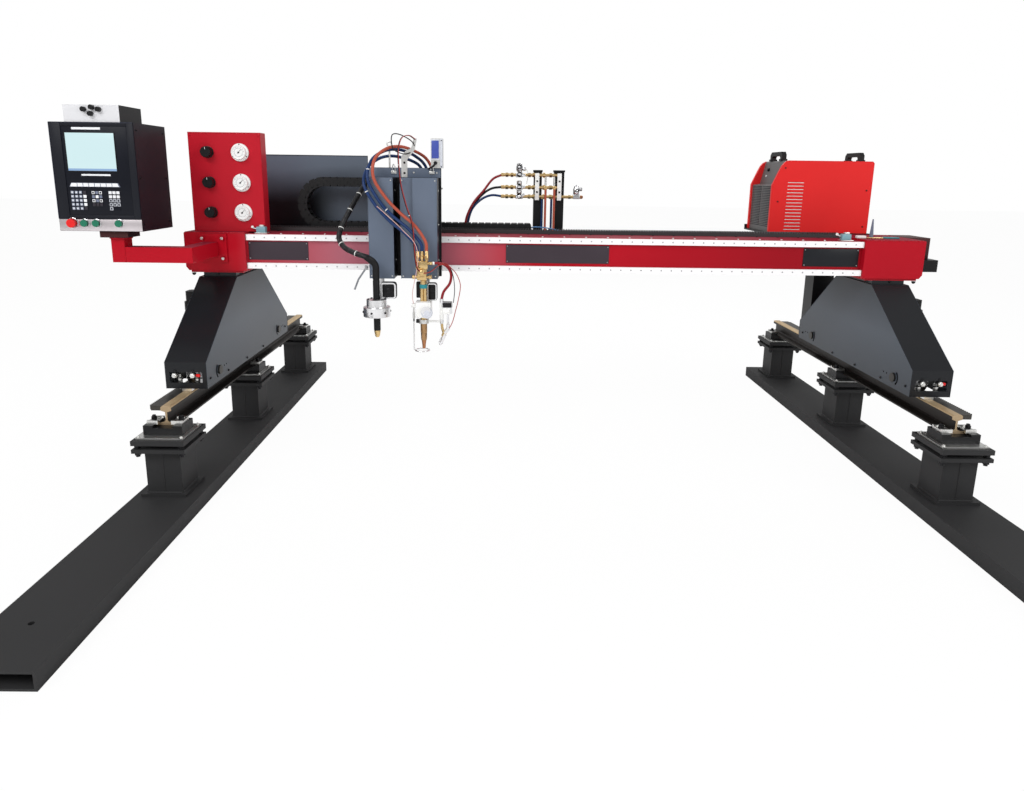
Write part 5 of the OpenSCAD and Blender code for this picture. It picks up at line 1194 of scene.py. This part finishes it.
def dress_igniter():
    x, y = IGNITER_X, TORCH_Y
    parts = Piece("igniter_parts", "oxy_head", "lifter_metal")
    parts.turn([(7, 803), (7, 794), (8.6, 792), (8.6, 782), (7, 780)], (x, y, 0), UP, chrome, 16)
    parts.turn([(8.8, 782), (8.8, 712), (7, 709)], (x, y, 0), UP, ceramic, 24)
    parts.rod((x - 66, y, 701), (x + 4, y, 701), 4.6, ceramic, 16)
    parts.turn([(22.4, 692), (22.8, 694), (22.8, 708), (22.4, 710)], (OXY_X, y, 0), UP, zinc, 36)
    parts.block((-632, y - 8, 693), (-616, y + 8, 710), dark_steel, 3)
    parts.block((x + 3.4, y - 14.5, 764), (x + 46.6, y + 14.5, 789.6), dark_steel, 3)
    parts.block((x + 3.4, y - 14.5, 736), (x + 38, y + 14.5, 764), ceramic, 3)
    parts.turn([(4.6, 739), (4.6, 690), (6.6, 688), (6.6, 664)], (x + 28, y, 0), UP, chrome, 12)
    parts.turn([(6.4, 709), (6.4, 690), (4, 686)], (x, y, 0), UP, zinc, 16)
    pipes = (
        ((x, y, 700), (x + 2, y, 672), (x + 8, y, 650)),
        ((x + 28, y, 668), (x + 18, y, 650), (x + 8, y, 636)),
    )
    for route in pipes:
        parts.tube(smooth_route(route), 6, brass, 14)
    parts.turn([(8, 0), (8, 14), (6, 16)], (x + 10, y, 648), (-0.44, 0, -0.9), brass, 6)
    for a, b in ((-9, 0), (9, 0), (0, 8), (0, -8)):
        wire = [
            (x + 6, y, 640), (x + 2 + a * 0.6, y + b * 0.6, 626), (x - 3 + a, y + b, 608), (x - 8, y, 591),
        ]
        parts.tube(smooth_route(wire), 1.2, chrome, 6)
    parts.tube(circle((x - 5, y, 604), (0.44, 0, 0.9), 9, 20), 1.3, chrome, 6)
    parts.put()
    sensor = Piece("height_sensor_parts", "oxy_head", "lifter_metal")
    sensor.turn([(3.4, 778), (3.4, 742), (5.2, 740), (5.2, 716), (3.2, 712)], (-642, y, 0), UP, zinc, 16)
    sensor.turn([(3.2, 712), (3.2, 700)], (-642, y, 0), UP, dark_steel, 12)
    sensor.put()


# Console


def dress_console():
    x0, y0, z0 = -2111, -180, 1090
    x1, z1 = x0 + 346, z0 + 443
    border = Piece("console_front_frame", "console", "console_paint")
    for low, high in (((x0 + 1, 1141), (x0 + 48, z1 - 1)), ((x1 - 30, 1141), (x1 - 1, z1 - 1)),
                      ((x0 + 48, z1 - 16), (x1 - 30, z1 - 1)), ((x0 + 48, 1141), (x1 - 30, 1156))):
        border.block((low[0], y0 - 6, low[1]), (high[0], y0 - 0.2, high[1]), console_dark, 2)
    # Painted highlight along the left and top edges of the front frame.
    edge = [(x0 + 2, y0 - 6, 1141), (x0 + 2, y0 - 6, z1 - 2), (x1 - 2, y0 - 6, z1 - 2)]
    border.tube(edge, 1.6, console_edge_highlight, 8)
    border.block((x0 + 1, y0 - 3.6, 1091), (x1 - 1, y0 - 0.2, 1139), strip_silver, 0.3)
    border.put()
    face = y0 - 3.2
    panel = Piece("console_keys", "console", "panel_film")
    panel.block((x0 + 50, face, 1157), (x1 - 31, face + 2.8, z1 - 17), panel_film, 1)
    panel.block((-2048, face - 0.8, 1338), (-1849, face + 0.4, 1490), screen, 0.3)
    rim = [(-2052, 1334, -1845, 1337.4), (-2052, 1490.6, -1845, 1494), (-2052, 1337.4, -2048.6, 1490.6),
           (-1848.4, 1337.4, -1845, 1490.6)]
    for a, b, c, d in rim:
        panel.block((a, face - 2.4, b), (c, face + 0.4, d), black_plastic, 0.8)
    for a, b, c, d in ((-2019, 1503, -1901, 1512), (-1997, 1318, -1877, 1325)):
        panel.block((a, face - 0.7, b), (c, face + 0.2, d), key_white, 0.4)
    shelf = [(-2051, 1273), (-1841, 1273), (-1849, 1289), (-2043, 1289)]
    panel.sheet(shelf, face - 1.2, face + 0.2, key_grey)
    for k in range(8):
        x = -2041 + 24 * k
        low_x0 = x - 7 if k == 0 else x
        low_x1 = x + 27 if k == 7 else x + 21
        cap = [(low_x0, 1274), (low_x1, 1274), (x + 21, 1288), (x, 1288)]
        panel.sheet(cap, face - 2.6, face, key_white)

    def key(x, z, w, h, cap, mark=None):
        panel.block((x, face - 2.4, z), (x + w, face, z + h), cap, 1)
        if mark:
            panel.block((x + 2.4, face - 2.6, z + 2.4), (x + w - 2.4, face - 2.2, z + h - 2.4), mark, 0.1)

    for i in range(4):
        for j in range(5):
            whole = i == 3 and j in (1, 2, 3)
            dark = i == 3 and j in (0, 4)
            cap = key_white if whole else key_dark if dark else key_grey
            key(-2049 + 17 * i, 1178 + 16.5 * j, 13, 12, cap, None if whole or dark else clear_white)
    for i in range(3):
        for j in range(4):
            plain = j == 0
            middle = i == 1 and j == 2
            corner = i != 1 and j in (1, 3)
            cap = key_dark if plain else key_white if middle or corner else key_grey
            key(-1962 + 15 * i, 1194 + 16.5 * j, 12, 12, cap, panel_film if corner else None)
    for i in range(3):
        for j in range(5):
            if j == 0 and i:
                continue
            cap, mark = (key_white, None) if j > 2 else (clear_white, panel_film)
            key(-1892 + 16 * i, 1178 + 16.5 * j, 13, 12, cap, mark)
    panel.put()
    rings = Piece("button_rings", "console", "axle_steel")
    for x, r in ((-2054, 21), (-2004, 17), (-1955, 17), (-1860, 17)):
        rings.tube(circle((x, y0 - 5.1, 1123), FRONT, r), 1.6, chrome, 8)
    rings.put()
    case = Piece("console_case_trim", "console", "console_paint")
    for z in (z0 + 30, z0 + 220, z1 - 30):
        for y in (y0 + 18, y0 + 250):
            case.screw((x1, y, z), RIGHT, 4, dark_steel)
            case.screw((x0, y, z), LEFT, 4, dark_steel)
    case.block((x0 + 40, y0 + 270, z0 + 40), (x1 - 40, y0 + 272, z1 - 40), satin_black, 1)
    for x in (x0 + 54, x1 - 54):
        for z in (z0 + 54, z1 - 54):
            case.screw((x, y0 + 272, z), BACK, 4, dark_steel)
    case.block((-1956.4, -167.8, 1064), (-1837.6, -166.9, 1089.6), shelf_brown, 0.3)
    case.put()


# Camera, light and floor


def set_camera():
    pitch, yaw, roll = (math.radians(a) for a in (11.974, 0.316, 0.75))
    ahead = Vector((math.sin(yaw) * math.cos(pitch), math.cos(yaw) * math.cos(pitch), -math.sin(pitch)))
    right = Vector((math.cos(yaw), -math.sin(yaw), 0))
    up = right.cross(ahead)
    right, up = right * math.cos(roll) + up * math.sin(roll), up * math.cos(roll) - right * math.sin(roll)
    lens = bpy.data.cameras.new("camera")
    lens.sensor_width = 36
    lens.lens = 24.61
    lens.shift_x = 0.0083
    lens.shift_y = -0.0698
    lens.clip_end = 60
    camera = bpy.data.objects.new("camera", lens)
    turn = Matrix((right, up, -ahead)).transposed()
    camera.matrix_world = Matrix.Translation((-0.2592, -3.15, 1.3408)) @ turn.to_4x4()
    bpy.context.scene.collection.objects.link(camera)
    bpy.context.scene.camera = camera


def area_lamp(name, place, target, size, power):
    lamp = bpy.data.lights.new(name, "AREA")
    lamp.shape = "RECTANGLE"
    lamp.size, lamp.size_y = size
    lamp.energy = power
    thing = bpy.data.objects.new(name, lamp)
    thing.location = place
    thing.rotation_euler = (Vector(target) - Vector(place)).to_track_quat("-Z", "Y").to_euler()
    bpy.context.scene.collection.objects.link(thing)


def set_light():
    world = bpy.data.worlds.new("studio")
    world.use_nodes = True
    bpy.context.scene.world = world
    tree = world.node_tree
    surround = tree.nodes["Background"]
    surround.inputs["Color"].default_value = (1, 1, 1, 1)
    path = tree.nodes.new("ShaderNodeLightPath")
    seen = tree.nodes.new("ShaderNodeMath")
    seen.operation = "MULTIPLY_ADD"
    tree.links.new(path.outputs["Is Camera Ray"], seen.inputs[0])
    seen.inputs[1].default_value = 0.42
    seen.inputs[2].default_value = 0.58
    tree.links.new(seen.outputs[0], surround.inputs["Strength"])
    area_lamp("key lamp", (-3.5, -4.5, 5.0), (0, 0, 0.8), (4, 3), 230)
    area_lamp("fill lamp", (4.5, -4.0, 3.2), (0, 0, 0.8), (3, 3), 90)
    area_lamp("rear lamp", (0.5, 4.5, 4.5), (0, 0, 0.9), (5, 2), 110)


def set_floor():
    f = Finish("pale floor", 0.9)
    f.set(Base_Color=(0.97, 0.97, 0.97))
    glow = f.node("ShaderNodeEmission", {}, {"Color": (1, 1, 1, 1), "Strength": 1.0})
    seen = Level(f, f.node("ShaderNodeLightPath", {}, {}).outputs["Is Camera Ray"])
    blend = f.node("ShaderNodeMixShader", {}, {0: seen * 0.95, 1: f.shader.outputs[0], 2: glow.outputs[0]})
    f.join(f.tree.nodes["Material Output"].inputs["Surface"], blend.outputs[0])
    mesh = bpy.data.meshes.new("floor")
    w = 30.0
    mesh.from_pydata([(-w, -w, 0), (w, -w, 0), (w, w, 0), (-w, w, 0)], [], [(0, 1, 2, 3)])
    mesh.materials.append(f.material)
    floor = bpy.data.objects.new("floor", mesh)
    floor.location.z = -0.0005
    bpy.context.scene.collection.objects.link(floor)
    bpy.context.scene.view_settings.view_transform = "Standard"


set_camera()
set_light()
set_floor()
hang_hoses()
hang_wires()
dress_frame()
dress_track()
dress_carriages()
dress_beam()
lay_chain()
dress_gas_panel()
dress_manifold()
dress_power_source()
dress_saddle()
dress_plasma()
dress_oxy()
dress_igniter()
dress_console()
